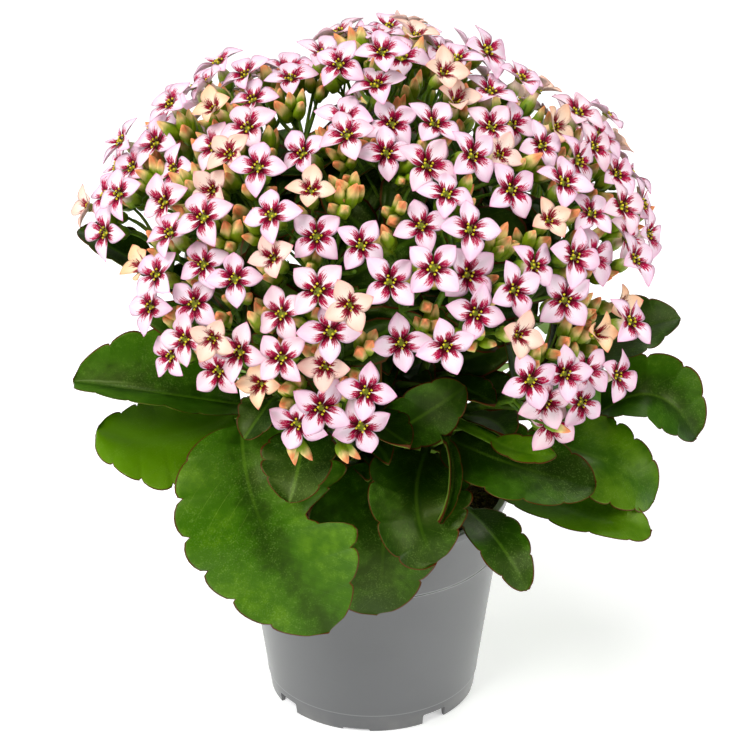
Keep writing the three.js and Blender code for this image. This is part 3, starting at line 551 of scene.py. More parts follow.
def lines(name, paths):
    points, girths, edges = [], [], []
    for path, radii in paths:
        first = len(points)
        points.extend(path)
        girths.extend(np.asarray(radii) * mm)
        edges.extend((first + i, first + i + 1) for i in range(len(path) - 1))
    mesh = bpy.data.meshes.new(name)
    mesh.from_pydata((np.array(points) * mm).tolist(), edges, [])
    mesh.attributes.new("girth", "FLOAT", "POINT").data.foreach_set("value", np.array(girths, np.float32))
    return linked(name, mesh)


# Pot
pot = {
    "height": 98, "footRadius": 45.9, "ringHeight": 8.5, "ringRadius": 47.2, "bandHeight": 71.6,
    "bandRadius": 55.5, "rimRadius": 57.6, "lipRadius": 59.2, "lipHeight": 4, "wall": 1.3, "hubRadius": 26,
    "channelHeight": 4, "floor": 1.6, "ledge": 0.5, "bead": 0.34, "sides": 168, "crease": 38,
}
drain = {"count": 6, "radius": 3.2, "distance": 35, "first": 10, "half": 10, "sides": 28}
notch = {"count": 8, "tall": 5, "shallow": 1.2, "turn": 15, "first": -54, "corner": 0.8, "depths": (36, 56)}


def wallRadius(z):
    p = pot
    if z < p["bandHeight"]:
        share = (z - p["ringHeight"]) / (p["bandHeight"] - p["ringHeight"])
        return mix(p["ringRadius"], p["bandRadius"], share)
    share = (z - p["bandHeight"]) / (p["height"] - p["lipHeight"] - p["bandHeight"])
    return mix(p["bandRadius"], p["rimRadius"], share)


def arc(centre, radius, start, end, steps):
    turns = np.radians(np.linspace(start, end, steps))
    return [(centre[0] + radius * math.cos(a), centre[1] + radius * math.sin(a)) for a in turns]


# The pot's section as radius and height: its foot ring, its outside, the lip, its inside and the floor
def potSection():
    p = pot
    foot, hub, channel, wall = p["footRadius"], p["hubRadius"], p["channelHeight"], p["wall"]
    ring, ringRadius, ledge, band = p["ringHeight"], p["ringRadius"], p["ledge"], p["bandHeight"]
    top, lip, inside = p["height"], p["lipRadius"], p["rimRadius"] - wall
    under, floorTop = top - p["lipHeight"], channel + p["floor"]
    section = [(0, 0), (hub, 0), (hub + 0.5, 0.4), (hub + 1.5, channel)]
    section += [(foot - 2.5, channel), (foot - 1.9, 0.4), (foot - 1.6, 0), (foot - 0.4, 0), (foot, 0.4)]
    section += [(ringRadius - ledge, ring - 1.0), (ringRadius - ledge, ring - 0.35)]
    section += [(ringRadius, ring), (ringRadius + 0.05, ring + 0.5)]
    section += [(wallRadius(z) - ledge * 0.2, z) for z in np.linspace(ring + 3, band - 1.6, 12)]
    section += arc((wallRadius(band) - 0.1, band), p["bead"], -80, 80, 7)
    section += [(wallRadius(z), z) for z in np.linspace(band + 2, under - 1.0, 6)]
    section += [(p["rimRadius"] + 0.2, under - 0.2), (lip - 0.7, under + 0.1)]
    section += arc((lip - 0.7, under + 0.8), 0.7, -60, 0, 4)
    section += arc((lip - 0.9, top - 0.9), 0.9, 0, 90, 6)
    section += arc((inside + 0.7, top - 0.7), 0.7, 90, 180, 5)
    section += [(p["bandRadius"] - wall, band), (wallRadius(floorTop) - wall, floorTop)]
    return section + [(hub, floorTop), (hub - 1.5, p["floor"]), (0, p["floor"])]


def makePot():
    body = meshObject("pot_moulded", *turned(potSection(), pot["sides"]))
    cutters = []
    radius, deep = drain["radius"], drain["half"]
    for k in range(drain["count"]):
        way = outward(drain["first"] + k * 360 / drain["count"], 90) * drain["distance"]
        points, faces = turned([(0, -deep), (radius, -deep), (radius, deep), (0, deep)], drain["sides"])
        cutters.append((points + way, faces))
    # each notch is cut as a slot with rounded upper corners
    corner, half = notch["corner"], pot["footRadius"] * math.sin(math.radians(notch["turn"] / 2))
    for k in range(notch["count"]):
        az = notch["first"] + k * 360 / notch["count"]
        rise = notch["shallow"] if k % 2 else notch["tall"]
        way, side = outward(az, 90), outward(az + 90, 90)
        outline = [(-half, -5), (half, -5)]
        outline += arc((half - corner, rise - corner), corner, 0, 90, 4)
        outline += arc((corner - half, rise - corner), corner, 90, 180, 4)
        ends = [[way * depth + side * x + vec(0, 0, z) for x, z in outline] for depth in notch["depths"]]
        cutters.append(loft([np.array(end) for end in ends]))
    tools = [meshObject("cutter", *cutter) for cutter in cutters]
    for tool in tools:
        cut = body.modifiers.new("cut", "BOOLEAN")
        cut.operation, cut.solver, cut.object = "DIFFERENCE", "EXACT", tool
    mesh = meshOf(body)
    body.modifiers.clear()
    for tool in tools:
        bpy.data.objects.remove(tool)
    body.data = mesh
    mesh.shade_smooth()
    mesh.set_sharp_from_angle(angle=math.radians(pot["crease"]))
    mesh.materials.clear()
    mesh.materials.append(finishes["pot"])
    finished(body, "pot_plastic", "pot")


makePot()
print("pot made")

# Soil
soil = {
    "top": 89, "gap": 0.3, "mound": 3, "rings": 26, "sides": 96, "rough": 1.1, "swells": 14, "bare": 1.5,
    "density": 260000, "least": 0.5, "most": 1.9, "grainSeed": 5, "swellSeed": 77, "strewnSeed": 3,
}


# A rough grain, six-sided, between two points
def makeGrain(seed):
    random = makeRandom(seed)
    rings = [np.array([vec(0, 0, -1)])]
    for z, radius in ((-0.55, 0.8), (0.1, 1.0), (0.6, 0.7)):
        rings.append(np.array([
            vec(math.cos(a) * radius, math.sin(a) * radius, z) * (0.75 + 0.5 * random())
            for a in np.arange(6) * math.pi / 3]))
    return meshObject("grain", *loft(rings + [np.array([vec(0, 0, 1)])]))


def makeSoil():
    s = soil
    less = pot["wall"] + s["gap"]
    inner, foot = wallRadius(s["top"]) - less, pot["channelHeight"] + pot["floor"] + s["gap"]
    profile = [(0, foot), (wallRadius(foot) - less, foot)]
    profile += [(wallRadius(pot["bandHeight"]) - less, pot["bandHeight"]), (inner, s["top"] - 1)]
    for share in np.linspace(0, 1, s["rings"]):
        profile.append((inner * (1 - share), s["top"] + s["mound"] * share ** 0.7))
    points, faces = turned(profile, s["sides"])
    random = makeRandom(s["swellSeed"])
    phases = [(random() * 6, 0.08 + 0.35 * random(), random() * 6.28) for _ in range(s["swells"])]
    for point in points:
        x, y, z = point
        if z > s["top"] - 0.5:
            swell = sum(math.sin(x * f * math.cos(w) + y * f * math.sin(w) + p) for p, f, w in phases)
            point[2] += s["rough"] * swell / 6 * min(1, (inner - math.hypot(x, y)) / 4)
    bed = meshObject("soil_bed", points, faces, material=finishes["soil"])
    grain = makeGrain(s["grainSeed"])
    shown = (points[:, 2] > s["top"] - 0.6) & (np.hypot(points[:, 0], points[:, 1]) < inner - s["bare"])
    top = meshObject("soil_top", points, [face for face in faces if shown[face].all()])
    strewn = grown(top, "grains", Part=grain, Density=s["density"], Least=s["least"], Most=s["most"],
                   Seed=s["strewnSeed"], Finish=finishes["soil"])
    bpy.data.objects.remove(grain)
    piece = gathered("soil_mix", [bed.data, strewn])
    bpy.data.objects.remove(bed)
    finished(piece, "soil", "soil")


makeSoil()
print("soil made")

# Stem
trunk = {"radius": 8, "foot": 62, "top": 116, "taper": 0.85, "narrow": (92, 116), "rings": 18, "scar": 0.5}
shoot = {"start": 97, "radius": (2.6, 3.5, 2.8), "points": 22, "joint": 0.35, "sides": 14}
tiers = {
    "low": ((26, 116), (38, 140)), "middle": ((15, 124), (29, 160)),
    "high": ((8, 130), (16, 174)), "top": ((0.5, 130), (2, 184)),
}
# name: azimuth and tilt on the dome, reach, tier and azimuth of its shoot, and how many blooms it offers
heads = {
    "front_low": (-12, 92, 1, "low", -8, 12),
    "left_low": (-41, 81, 0.98, "low", -40, 12),
    "right_low": (43, 100, 1.05, "low", 44, 10),
    "left": (-82, 61, 1.01, "middle", -88, 12),
    "front_left": (-16, 70, 0.98, "middle", -25, 14),
    "front_right": (17, 70, 0.99, "middle", 20, 15),
    "right_middle": (51, 75, 0.98, "middle", 66, 14),
    "left_middle": (-47, 55, 0.96, "middle", -60, 14),
    "right": (85, 65, 0.99, "middle", 94, 14),
    "top_front": (0, 39, 0.97, "high", 2, 14),
    "top_right": (52, 38, 0.97, "high", 58, 13),
    "top_left": (-68, 29, 0.97, "high", -76, 13),
    "top": (40, 8, 1.03, "top", 40, 13),
    "back_right": (124, 70, 0.95, "middle", 126, 15),
    "back": (165, 66, 0.97, "middle", 158, 15),
    "back_left": (-128, 64, 0.97, "middle", -126, 15),
    "back_top": (168, 36, 0.97, "high", -168, 13),
}


def shootPoint(name, t):
    way = outward(heads[name][4], 90)
    bends = [way * away + vec(0, 0, z) for away, z in tiers[heads[name][3]]]
    return bezier([vec(0, 0, shoot["start"]), *bends], t)


def shootTangent(name, t):
    return unit(shootPoint(name, min(1, t + 0.01)) - shootPoint(name, max(0, t - 0.01)))


def makeStem():
    heights = np.linspace(trunk["foot"], trunk["top"], trunk["rings"])
    girths = [mix(trunk["radius"], trunk["radius"] * trunk["taper"], smooth(*trunk["narrow"], z))
              + trunk["scar"] * (math.sin(z * 1.3) > 0.6) for z in heights]
    paths = [([vec(0, 0, z) for z in heights], girths)]
    for name in heads:
        shares = np.linspace(0, 1, shoot["points"])
        radii = np.interp(shares, (0, 0.5, 1), shoot["radius"])
        radii = radii + shoot["joint"] * (np.sin(shares * 19 + heads[name][0]) > 0.85)
        paths.append(([shootPoint(name, t) for t in shares], radii))
    mesh = grown(lines("stem_lines", paths), "stalks", Sides=shoot["sides"], Finish=finishes["stem"])
    finished(linked("stem_shoots", mesh), "stem", "stem")


makeStem()
print("stem made")

# Leaves
leafForm = {
    "belly": 0.85, "fullness": 0.55, "toothDepth": 0.13, "toothRound": 0.42, "thick": 2.0,
    "petioleHalf": 2.2, "petioleThick": 3.2, "stations": 66, "petioleStations": 12, "wave": 1.1,
    "groove": 0.45, "seatGap": 0.3, "cleftAt": 0.52, "cleftWide": 0.08, "blunt": 0.9985, "round": 0.97,
    "seeds": (900, 31),
}
# name: shoot and share of it, three points of the rib as azimuth, distance and height, half widths and curl
# of the left and right side, the azimuth it faces, roll, fold, teeth a side and how bright its green is
# a leaf's brightness paints in part of the light and shade on it, darker for leaves that lie in shade
leaves = {
    "left_upper": ("left", 0.55, (-56, 65, 153), (-62, 95, 162), (-72, 128, 165),
        (29, 26), (5, 1), -80, -26, 36, 6, 0.1),
    "left_lower": ("left_low", 0.75, (-57, 69, 149), (-60, 99, 145), (-65, 123, 149),
        (26, 32), (5, -25), -60, -12, 4, 6, 0.7),
    "front_left": ("left_low", 0.5, (-42, 78, 154), (-27, 95, 122), (-11, 90, 76),
        (33, 42), (-12, 30), 5, 0, 3, 7, 0.14),
    "front_dark": ("front_low", 0.5, (-22, 73, 157), (-19, 88, 150), (-19, 99, 138),
        (16, 16), (10, 10), -20, 0, 6, 4, -0.25),
    "front_behind": ("front_low", 0.3, (7, 42, 130), (4, 66, 106), (2, 66, 71),
        (32, 24), (5, 12), 5, 0, 4, 4, -0.05),
    "front_cup": ("front_right", 0.5, (24, 53, 137), (13, 79, 127), (17, 88, 106),
        (24, 23), (38, 15), 8, 0, 10, 5, -0.1),
    "front_fold": ("front_right", 0.8, (25, 70, 150), (22, 85, 140), (17, 90, 125),
        (6, 6), (60, 60), 20, 0, 35, 3, 0.1),
    "front_right_low": ("trunk", 95.5, (40, 62, 110), (37, 86, 106), (40, 98, 88),
        (13, 13), (5, 5), 35, 0, 6, 4, -0.05),
    "right_centre": ("right_low", 0.5, (35, 56, 142), (41, 92, 141), (50, 116, 136),
        (23, 19), (15, 15), 45, 18, 6, 5, -0.05),
    "right_behind": ("right_middle", 0.45, (67, 67, 132), (64, 104, 133), (69, 125, 113),
        (24, 22), (5, 5), 70, 20, 4, 6, 0.3),
    "right_low_edge": ("trunk", 95.5, (72, 57, 108), (56, 104, 115), (63, 128, 107),
        (15, 15), (5, 20), 60, 10, 6, 5, 0.45),
    "right_upper": ("right", 0.75, (89, 82, 152), (94, 107, 165), (95, 132, 171),
        (19, 19), (10, 10), 80, 25, 8, 5, -0.1),
    "right_curled": ("right", 0.5, (81, 98, 140), (81, 120, 149), (83, 138, 128),
        (22, 19), (20, 45), 70, 25, 10, 5, 0.1),
    "bright_small": ("front_right", 0.97, (35, 84, 153), (38, 98, 152), (43, 106, 151),
        (8, 8), (10, 10), 40, 15, 8, 3, 0.4),
    "right_front_up": ("right_middle", 0.9, (38, 50, 166), (37, 66, 167), (39, 78, 165),
        (9, 9), (10, 10), 40, 5, 8, 4, 0.0),
    "right_inner": ("right_low", 0.7, (50, 50, 146), (45, 68, 152), (40, 84, 152),
        (11, 11), (10, 10), 40, 0, 8, 4, 0.0),
    "centre_up": ("front_low", 0.65, (6, 46, 142), (20, 63, 160), (32, 70, 172),
        (13, 15), (10, 15), 20, 138, 8, 4, 0.05),
    "centre_small": ("front_low", 0.9, (-1, 58, 160), (4, 72, 160), (10, 85, 158),
        (11, 11), (10, 10), 10, 0, 8, 3, 0.05),
    "left_inner": ("left_low", 0.95, (-33, 74, 167), (-33, 81, 164), (-35, 88, 155),
        (11, 11), (10, 10), -40, 0, 10, 4, -0.2),
    "left_high": ("left", 0.92, (-84, 90, 201), (-82, 106, 213), (-85, 120, 220),
        (13, 13), (20, 20), -80, -25, 10, 4, -0.2),
    "left_high_dark": ("left_middle", 0.8, (-68, 64, 192), (-70, 80, 202), (-74, 92, 206),
        (11, 11), (10, 10), -60, -30, 8, 4, -0.3),
    "upper_dark": ("top_left", 0.8, (-74, 49, 214), (-78, 55, 228), (-86, 57, 239),
        (17, 17), (15, 15), -40, 170, 10, 5, -0.3),
    "right_side": ("right", 0.35, (106, 58, 124), (108, 92, 126), (110, 116, 106),
        (26, 26), (8, 14), 108, 8, 6, 5, 0.1),
    "back_right_side": ("back_right", 0.55, (131, 58, 142), (132, 90, 150), (134, 112, 136),
        (25, 25), (14, 10), 132, -6, 8, 5, 0.12),
    "back_right_low": ("trunk", 95.5, (153, 54, 114), (154, 88, 118), (156, 112, 97),
        (29, 29), (10, 6), 154, -4, 6, 5, 0.0),
    "back_middle": ("back", 0.6, (178, 56, 144), (180, 88, 150), (182, 112, 134),
        (26, 26), (10, 14), 180, 5, 8, 5, 0.15),
    "back_left_low": ("trunk", 95.5, (-156, 54, 114), (-154, 88, 116), (-152, 112, 96),
        (29, 29), (8, 10), -154, 4, 6, 5, 0.05),
    "back_left_side": ("back_left", 0.55, (-129, 58, 142), (-128, 90, 150), (-126, 114, 134),
        (26, 26), (8, 12), -128, -6, 8, 5, 0.15),
    "left_side": ("left", 0.3, (-103, 58, 120), (-103, 90, 124), (-102, 115, 106),
        (26, 26), (12, 8), -102, 4, 6, 5, 0.05),
}
# leaves that stand upright inside the dome: shoot and share of it, rib, half width and the azimuth it faces
innerLeaves = {
    "front_left": ("front_left", 0.9, (-32, 42, 176), (-33, 56, 196), (-34, 66, 216), 14, -33),
    "front_right": ("right_low", 0.97, (36, 42, 177), (36, 56, 197), (36, 66, 217), 14, 34),
    "front": ("top_front", 0.9, (2, 32, 190), (1, 48, 206), (0, 58, 226), 13, 0),
    "right": ("right", 0.95, (78, 42, 178), (75, 58, 196), (72, 70, 214), 14, 75),
    "back_right": ("back_right", 0.95, (142, 42, 178), (144, 56, 198), (146, 68, 218), 14, 144),
    "back_left": ("back_left", 0.95, (-150, 42, 178), (-152, 56, 198), (-154, 68, 218), 14, -152),
    "left": ("left", 0.97, (-104, 42, 178), (-106, 56, 198), (-108, 68, 218), 14, -106),
}
# inner leaves take a darker tone, which is painted shade inside the dome
for place, (*placed, wide, az) in innerLeaves.items():
    leaves["inner_" + place] = (*placed, (wide, wide), (10, 10), az, 0, 10, 4, -0.15)
# how deep the left and right side of a leaf is cleft
clefts = {"front_left": (0, 0.55)}


# The rib is a parabola through its three points, and carries the directions across the blade
def ribFrame(rib, face, roll, s):
    start, middle, tip = [outward(az, 90) * distance + vec(0, 0, z) for az, distance, z in rib]
    centre = start * (1 - s) * (1 - 2 * s) + middle * 4 * s * (1 - s) + tip * s * (2 * s - 1)
    ahead = unit(start * (4 * s - 3) + middle * (4 - 8 * s) + tip * (4 * s - 1))
    side0 = vec(math.cos(math.radians(face)), math.sin(math.radians(face)), 0)
    side = unit(side0 - ahead * side0.dot(ahead))
    turn = math.radians(roll)
    side = side * math.cos(turn) + np.cross(ahead, side) * math.sin(turn)
    return centre, ahead, side, -np.cross(side, ahead)


# Half width at s along the blade: round, with blunt scallops parted by sharp notches
def halfWidth(half, cleft, s, teeth):
    form = leafForm
    belly = math.sin(math.pi * s ** form["belly"]) ** form["fullness"] if 0 < s < 1 else 0
    scallop = abs(math.sin(math.pi * s * teeth)) ** form["toothRound"]
    cut = 1 - cleft * math.exp(-((s - form["cleftAt"]) / form["cleftWide"]) ** 2)
    toothed = 1 - form["toothDepth"] * (1 - scallop) * min(1, s / 0.3)
    narrow = 1 if s < form["round"] else math.sqrt(max(0.02, (1 - s) / (1 - form["round"])))
    return max(form["petioleHalf"], half * belly * toothed * cut) * narrow


# Where a leaf leaves its shoot or the trunk, and the direction off it
def leafSeat(on, at, rib, first):
    if on == "trunk":
        off = outward(rib[0][0], 90)
        return off * (trunk["radius"] + leafForm["seatGap"]) + vec(0, 0, at), off
    root, along = shootPoint(on, at), shootTangent(on, at)
    off = first - root
    off = unit(off - along * off.dot(along))
    return root + off * (shoot["radius"][1] - 0.4), off


def makeLeaf(name, seed):
    on, at, *rib, half, curl, face, roll, fold, teeth, tone = leaves[name]
    form, random = leafForm, makeRandom(leafForm["seeds"][0] + leafForm["seeds"][1] * seed)
    count = 21 if max(half) > 16 else 15
    columns = np.sin(np.linspace(-1, 1, count) * math.pi / 2) * 0.5 + np.linspace(-1, 1, count) * 0.5
    t = np.concatenate([columns, columns[1:-1][::-1]])
    upper = np.repeat([1.0, 0.0], [count, count - 2])
    a, right = np.abs(t), (t > 0).astype(int)
    lean, turn = math.radians(fold), np.radians(np.array(curl, float))[right]
    sideways = (np.sin(lean + turn * a) - math.sin(lean)) / turn * np.sign(t)
    lifted = (math.cos(lean) - np.cos(lean + turn * a)) / turn
    thick = form["thick"] * (1 - t ** 4) ** 0.6 * (0.75 + 0.25 * (1 - a))
    bulge = np.sqrt(np.maximum(0, 1 - t * t)) * form["petioleThick"] / 2
    phase = np.array([random() * 6.28 for _ in range(4)])
    rings, marks = [], {"top": [], "rim": [], "aside": [], "run": []}

    # flat is 0 for a round stalk and 1 for the blade
    def ring(centre, side, up, halves, s, flat, length):
        reach = np.array(halves)[right]
        waves = np.sin(6.28 * 1.3 * s + phase[right]) + 0.6 * np.sin(6.28 * 2.9 * s + phase[2 + right])
        ripple = form["wave"] * a ** 2 * smooth(0.1, 0.5, s) * max(half) / 26 * waves
        groove = form["groove"] * np.exp(-(t * reach / 1.6) ** 2) * smooth(1.0, 0.4, s)
        height = reach * lifted + ripple * flat - groove - (1 - upper) * thick
        blade = centre + np.outer(reach * sideways, side) + np.outer(height, up)
        rod = centre + np.outer(t * reach, side) + np.outer(np.where(upper > 0, 0.45, -1.5) * bulge, up)
        rings.append(mix(rod, blade, flat))
        rim = reach * (1 - a)
        marks["top"].extend(upper)
        marks["rim"].extend(rim if flat > 0.5 else mix(9, rim, flat))
        marks["aside"].extend(t * reach)
        marks["run"].extend(np.full(len(t), length))

    first, ahead, side, _ = ribFrame(rib, face, roll, 0)
    base, off = leafSeat(on, at, rib, first)
    run = np.linalg.norm(first - base)
    leaving = unit(unit(first - base) + off)
    bend = [base, base + leaving * 0.35 * run, first - ahead * 0.35 * run, first]
    # the petiole's side direction is carried down along its bend from the blade
    frames = []
    for s in np.linspace(0, 1, form["petioleStations"], endpoint=False)[::-1]:
        centre = bezier(bend, s)
        axis = unit(bezier(bend, s + 0.01) - centre)
        side = unit(side - axis * side.dot(axis))
        frames.append((s, centre, side, -np.cross(side, axis)))
    for s, centre, side, up in frames[::-1]:
        halves = [form["petioleHalf"] * (1 + 0.35 * smooth(0.12, 0.0, s))] * 2
        ring(centre, side, up, halves, 0, 0.5 * smooth(0.6, 1, s), (s - 1) * run)
    spots = [ribFrame(rib, face, roll, k / 8)[0] for k in range(9)]
    length = sum(np.linalg.norm(b - a) for a, b in zip(spots, spots[1:]))
    stations = {*(1 - np.cos(np.linspace(0, math.pi, form["stations"]))) / 2}
    stations |= {k / teeth for k in range(teeth)}
    for s in sorted(s for s in stations if s < form["blunt"]):
        centre, _, side, up = ribFrame(rib, face, roll, s)
        halves = [halfWidth(h, c, s, teeth) for h, c in zip(half, clefts.get(name, (0, 0)))]
        ring(centre, side, up, halves, s, 0.5 + 0.5 * smooth(0, 0.08, s), s * length)
    rings.append([ribFrame(rib, face, roll, 1)[0]])
    for key, value in (("top", 1), ("rim", 0), ("aside", 0), ("run", length)):
        marks[key].append(value)
    points, faces = loft([np.array(r) for r in rings])
    marks["tone"] = np.full(len(points), tone)
    piece = meshObject("leafblade_" + name, points, faces, marks, material=finishes["leaf"])
    finished(piece, "leaf", "leaf_" + name)


for seed, name in enumerate(leaves):
    makeLeaf(name, seed)
print("leaves made:", len(leaves))

# Blooms
dome = {"centre": vec(0, 0, 205), "across": 113, "high": 89}
facing = {"most": 62, "scale": 35, "power": 1.3, "spread": 0.011, "light": 0.28, "jitter": 0.16}
bloom = {
    "radius": 12, "vary": 0.08, "notch": 0.3, "wide": 0.62, "wideTurn": 37, "spacing": 9.4, "layer": 2.4,
    "wander": 3, "fading": 0.15, "fadingSize": 0.9, "fadingCup": (18, 18), "openCup": (3, 12), "apart": 12,
    "near": 30, "lift": 2.6, "tries": 4, "blade": 1.5, "margin": 0.6, "stalk": 3, "stalkRun": 18,
    "seeds": (4211, 97),
}
bud = {"length": 12, "sink": 2.5, "perHead": 3, "apart": 5.5}
stalk = {
    "radius": 2.4, "thick": 1.7, "knee": 8, "hub": 0.45, "arm": 0.74, "spread": 15, "arms": 3,
    "fork": 0.16, "pitch": 2.8, "crowd": 0.85, "armGirth": (1.53, 0.975), "endGirth": 1.05,
}
domeAxes = vec(dome["across"], dome["across"], dome["high"])


def onDome(direction, reach):
    return direction * domeAxes * reach + dome["centre"]


def domeDirection(place):
    return unit((place - dome["centre"]) / domeAxes)


# How far a bloom reaches, in shares of its radius, in a direction from its first petal
def petalReach(turn):
    quarter, wide = math.pi / 2, math.radians(bloom["wideTurn"])
    away = np.abs(turn - quarter * np.floor(turn / quarter + 0.5))

    def between(r0, a0, r1, a1):
        x0, y0, x1, y1 = r0 * math.cos(a0), r0 * math.sin(a0), r1 * math.cos(a1), r1 * math.sin(a1)
        return (x0 * (y1 - y0) - y0 * (x1 - x0)) / (np.cos(away) * (y1 - y0) - np.sin(away) * (x1 - x0))

    middle = between(1, 0, bloom["wide"], wide)
    return np.where(away < wide, middle, between(bloom["wide"], wide, bloom["notch"], quarter / 2))


# Whether any of several lines of places passes through a bloom's petals or its stalk
def crosses(b, paths):
    offset = np.asarray(paths) - b["centre"]
    x, y, below = offset @ b["u"], offset @ b["v"], offset @ b["normal"]
    away = np.hypot(x, y)
    height = below - away * math.tan(b["cup"])
    edge = b["radius"] * math.cos(b["cup"]) * petalReach(np.arctan2(y, x) - b["spin"]) + bloom["margin"]
    inside = away < edge
    near = inside & (np.abs(height) < bloom["blade"])
    through = inside[..., 1:] & inside[..., :-1] & (height[..., 1:] * height[..., :-1] < 0)
    rod = (below < 0) & (below > -bloom["stalkRun"]) & (away < bloom["stalk"])
    return near.any() or through.any() or rod.any()


def petalPaths(b):
    wide = math.radians(bloom["wideTurn"])
    turns, shares = [], []
    for k in range(4):
        turn = b["spin"] + k * math.pi / 2
        turns += [[turn] * 4, [turn - wide, turn - wide / 2, turn + wide / 2, turn + wide]]
        shares += [[0.3, 0.55, 0.8, 1], [bloom["wide"]] * 4]
    turns, reach = np.array(turns), np.array(shares) * b["radius"]
    flat = reach * math.cos(b["cup"])
    ways = ((flat * np.cos(turns), "u"), (flat * np.sin(turns), "v"), (reach * math.sin(b["cup"]), "normal"))
    return b["centre"] + sum(amount[..., None] * b[way] for amount, way in ways)


def touches(a, b):
    apart = np.linalg.norm(a["centre"] - b["centre"])
    if apart > bloom["near"] + a["radius"]:
        return False
    return apart < bloom["apart"] or crosses(b, petalPaths(a)) or crosses(a, petalPaths(b))


# Whether a bud, from its tip down, clears the blooms
def budFits(tip, way, length, opened):
    path = [[tip - way * share * length for share in (0, 0.25, 0.5, 0.75, 1)]]
    return not any(crosses(b, path) for b in opened if np.linalg.norm(b["centre"] - tip) <= bloom["near"])


def facingAt(place, middle, draws):
    x, y, z = place - dome["centre"]
    tilt = math.degrees(math.atan2(math.hypot(x, y) / dome["across"], z / dome["high"]))
    leaned = facing["most"] * (1 - math.exp(-((tilt / facing["scale"]) ** facing["power"])))
    jitter = (vec(*draws) - 0.5) * 2 * facing["jitter"]
    toLight = vec(0, facing["light"], 0)
    way = outward(math.degrees(math.atan2(x, -y)), leaned)
    return unit(way + (place - middle) * facing["spread"] + jitter - toLight)


# The place on the dome of one of the things that stand in a spiral round a head's middle
def spiralPlace(one, share, turn, wander=(0, 0)):
    rho, psi = bloom["spacing"] * math.sqrt(share), one["phase"] + turn * golden
    place = (one["middle"] + one["u"] * (rho * math.cos(psi) + wander[0])
             + one["v"] * (rho * math.sin(psi) + wander[1]))
    return onDome(domeDirection(place), one["reach"])


# Opens the blooms of every head in turn, then sets its buds between them, by the rule that the solids follow
def growHeads():
    found, opened, budded = [], [], []
    for index, (name, (az, tilt, reach, *_, count)) in enumerate(heads.items()):
        random = makeRandom(bloom["seeds"][0] + index * bloom["seeds"][1])
        direction = outward(az, tilt)
        u, v = across(direction)
        one = {
            "name": name, "random": random, "reach": reach, "count": count, "u": u, "v": v, "blooms": [],
            "buds": [], "middle": onDome(direction, reach), "phase": random() * 2 * math.pi,
        }
        for k in range(count):
            draws = [random() for _ in range(9)]
            ground = spiralPlace(one, k + 0.3, k, (vec(*draws[:2]) - 0.5) * bloom["wander"])
            fading = draws[5] < bloom["fading"]
            flat, more = bloom["fadingCup"] if fading else bloom["openCup"]
            radius = bloom["radius"] * (1 + bloom["vary"] * (2 * draws[6] - 1))
            made = {
                "fading": fading, "radius": radius * (bloom["fadingSize"] if fading else 1),
                "normal": facingAt(ground, one["middle"], draws[2:5]),
                "cup": math.radians(flat + more * draws[7]), "spin": draws[8] * math.pi / 2,
            }
            made["u"], made["v"] = across(made["normal"])
            for tries in range(bloom["tries"]):
                layer = bloom["layer"] * (k % 3 - 1) + tries * bloom["lift"]
                made["centre"] = ground + made["normal"] * layer
                if not any(touches(made, other) for other in opened):
                    opened.append(made)
                    one["blooms"].append(made)
                    break
        found.append(one)
    for one in found:
        offers = 3 * bud["perHead"]
        for k in range(offers):
            if len(one["buds"]) == bud["perHead"]:
                break
            draws = [one["random"]() for _ in range(5)]
            ground = spiralPlace(one, k * one["count"] / offers + 0.8, k + 0.5)
            normal = facingAt(ground, one["middle"], draws[:3])
            tip = ground + normal * (3 * draws[3] - bud["sink"])
            if (budFits(tip, normal, bud["length"], opened)
                    and all(np.linalg.norm(other["tip"] - tip) > bud["apart"] for other in budded)):
                made = {"tip": tip, "normal": normal, "length": bud["length"] * (0.8 + 0.4 * draws[4])}
                budded.append(made)
                one["buds"].append(made)
    return found, opened


# The head's branches, and for each thing that grows the place where it leaves its branch
def branchesOf(one):
    tip = shootPoint(one["name"], 1)
    way = unit(tip - shootPoint(one["name"], 0.5))
    knee = tip + way * stalk["knee"]
    hub, arm = [mix(tip, one["middle"], stalk[key]) for key in ("hub", "arm")]
    branches = []
    for k in range(stalk["arms"]):
        turn = 2 * math.pi * (k + 0.5) / stalk["arms"]
        end = arm + one["u"] * stalk["spread"] * math.cos(turn) + one["v"] * stalk["spread"] * math.sin(turn)
        branches.append({"from": mix(knee, hub, 1 - stalk["fork"] * k), "to": end, "growth": []})
    for thing in one["blooms"] + one["buds"]:
        top = thing.get("centre", thing.get("tip"))
        min(branches, key=lambda branch: np.linalg.norm(branch["to"] - top))["growth"].append((top, thing))
    for branch in branches:
        run, growth = branch["to"] - branch["from"], branch["growth"]
        axis = unit(run)
        pitch = min(stalk["pitch"], stalk["crowd"] * np.linalg.norm(run) / max(1, len(growth)))
        growth.sort(key=lambda pair: -np.linalg.norm(np.cross(pair[0] - branch["to"], axis)))
        for k, (_, thing) in enumerate(growth):
            thing["root"] = branch["to"] - axis * (1 + pitch * (len(growth) - 1 - k))
            thing["axis"] = axis
    return tip - way * 1.0, knee, branches


# Master parts, in shares of the bloom's radius or the bud's length
petal = {
    "outline": ((0.08, 0.08), (0.17, 0.17), (0.27, 0.262), (0.38, 0.325), (0.5, 0.355), (0.61, 0.34),
                (0.72, 0.285), (0.82, 0.205), (0.91, 0.11), (0.965, 0.04)),
    "columns": (-1, -0.66, -0.3, 0, 0.3, 0.66, 1), "thick": 0.032, "crease": 0.05 / 0.35, "bow": 0.5,
    "bent": {"Hollow": 0.9, "Bend": 0.13, "Twist": 0.3},
}
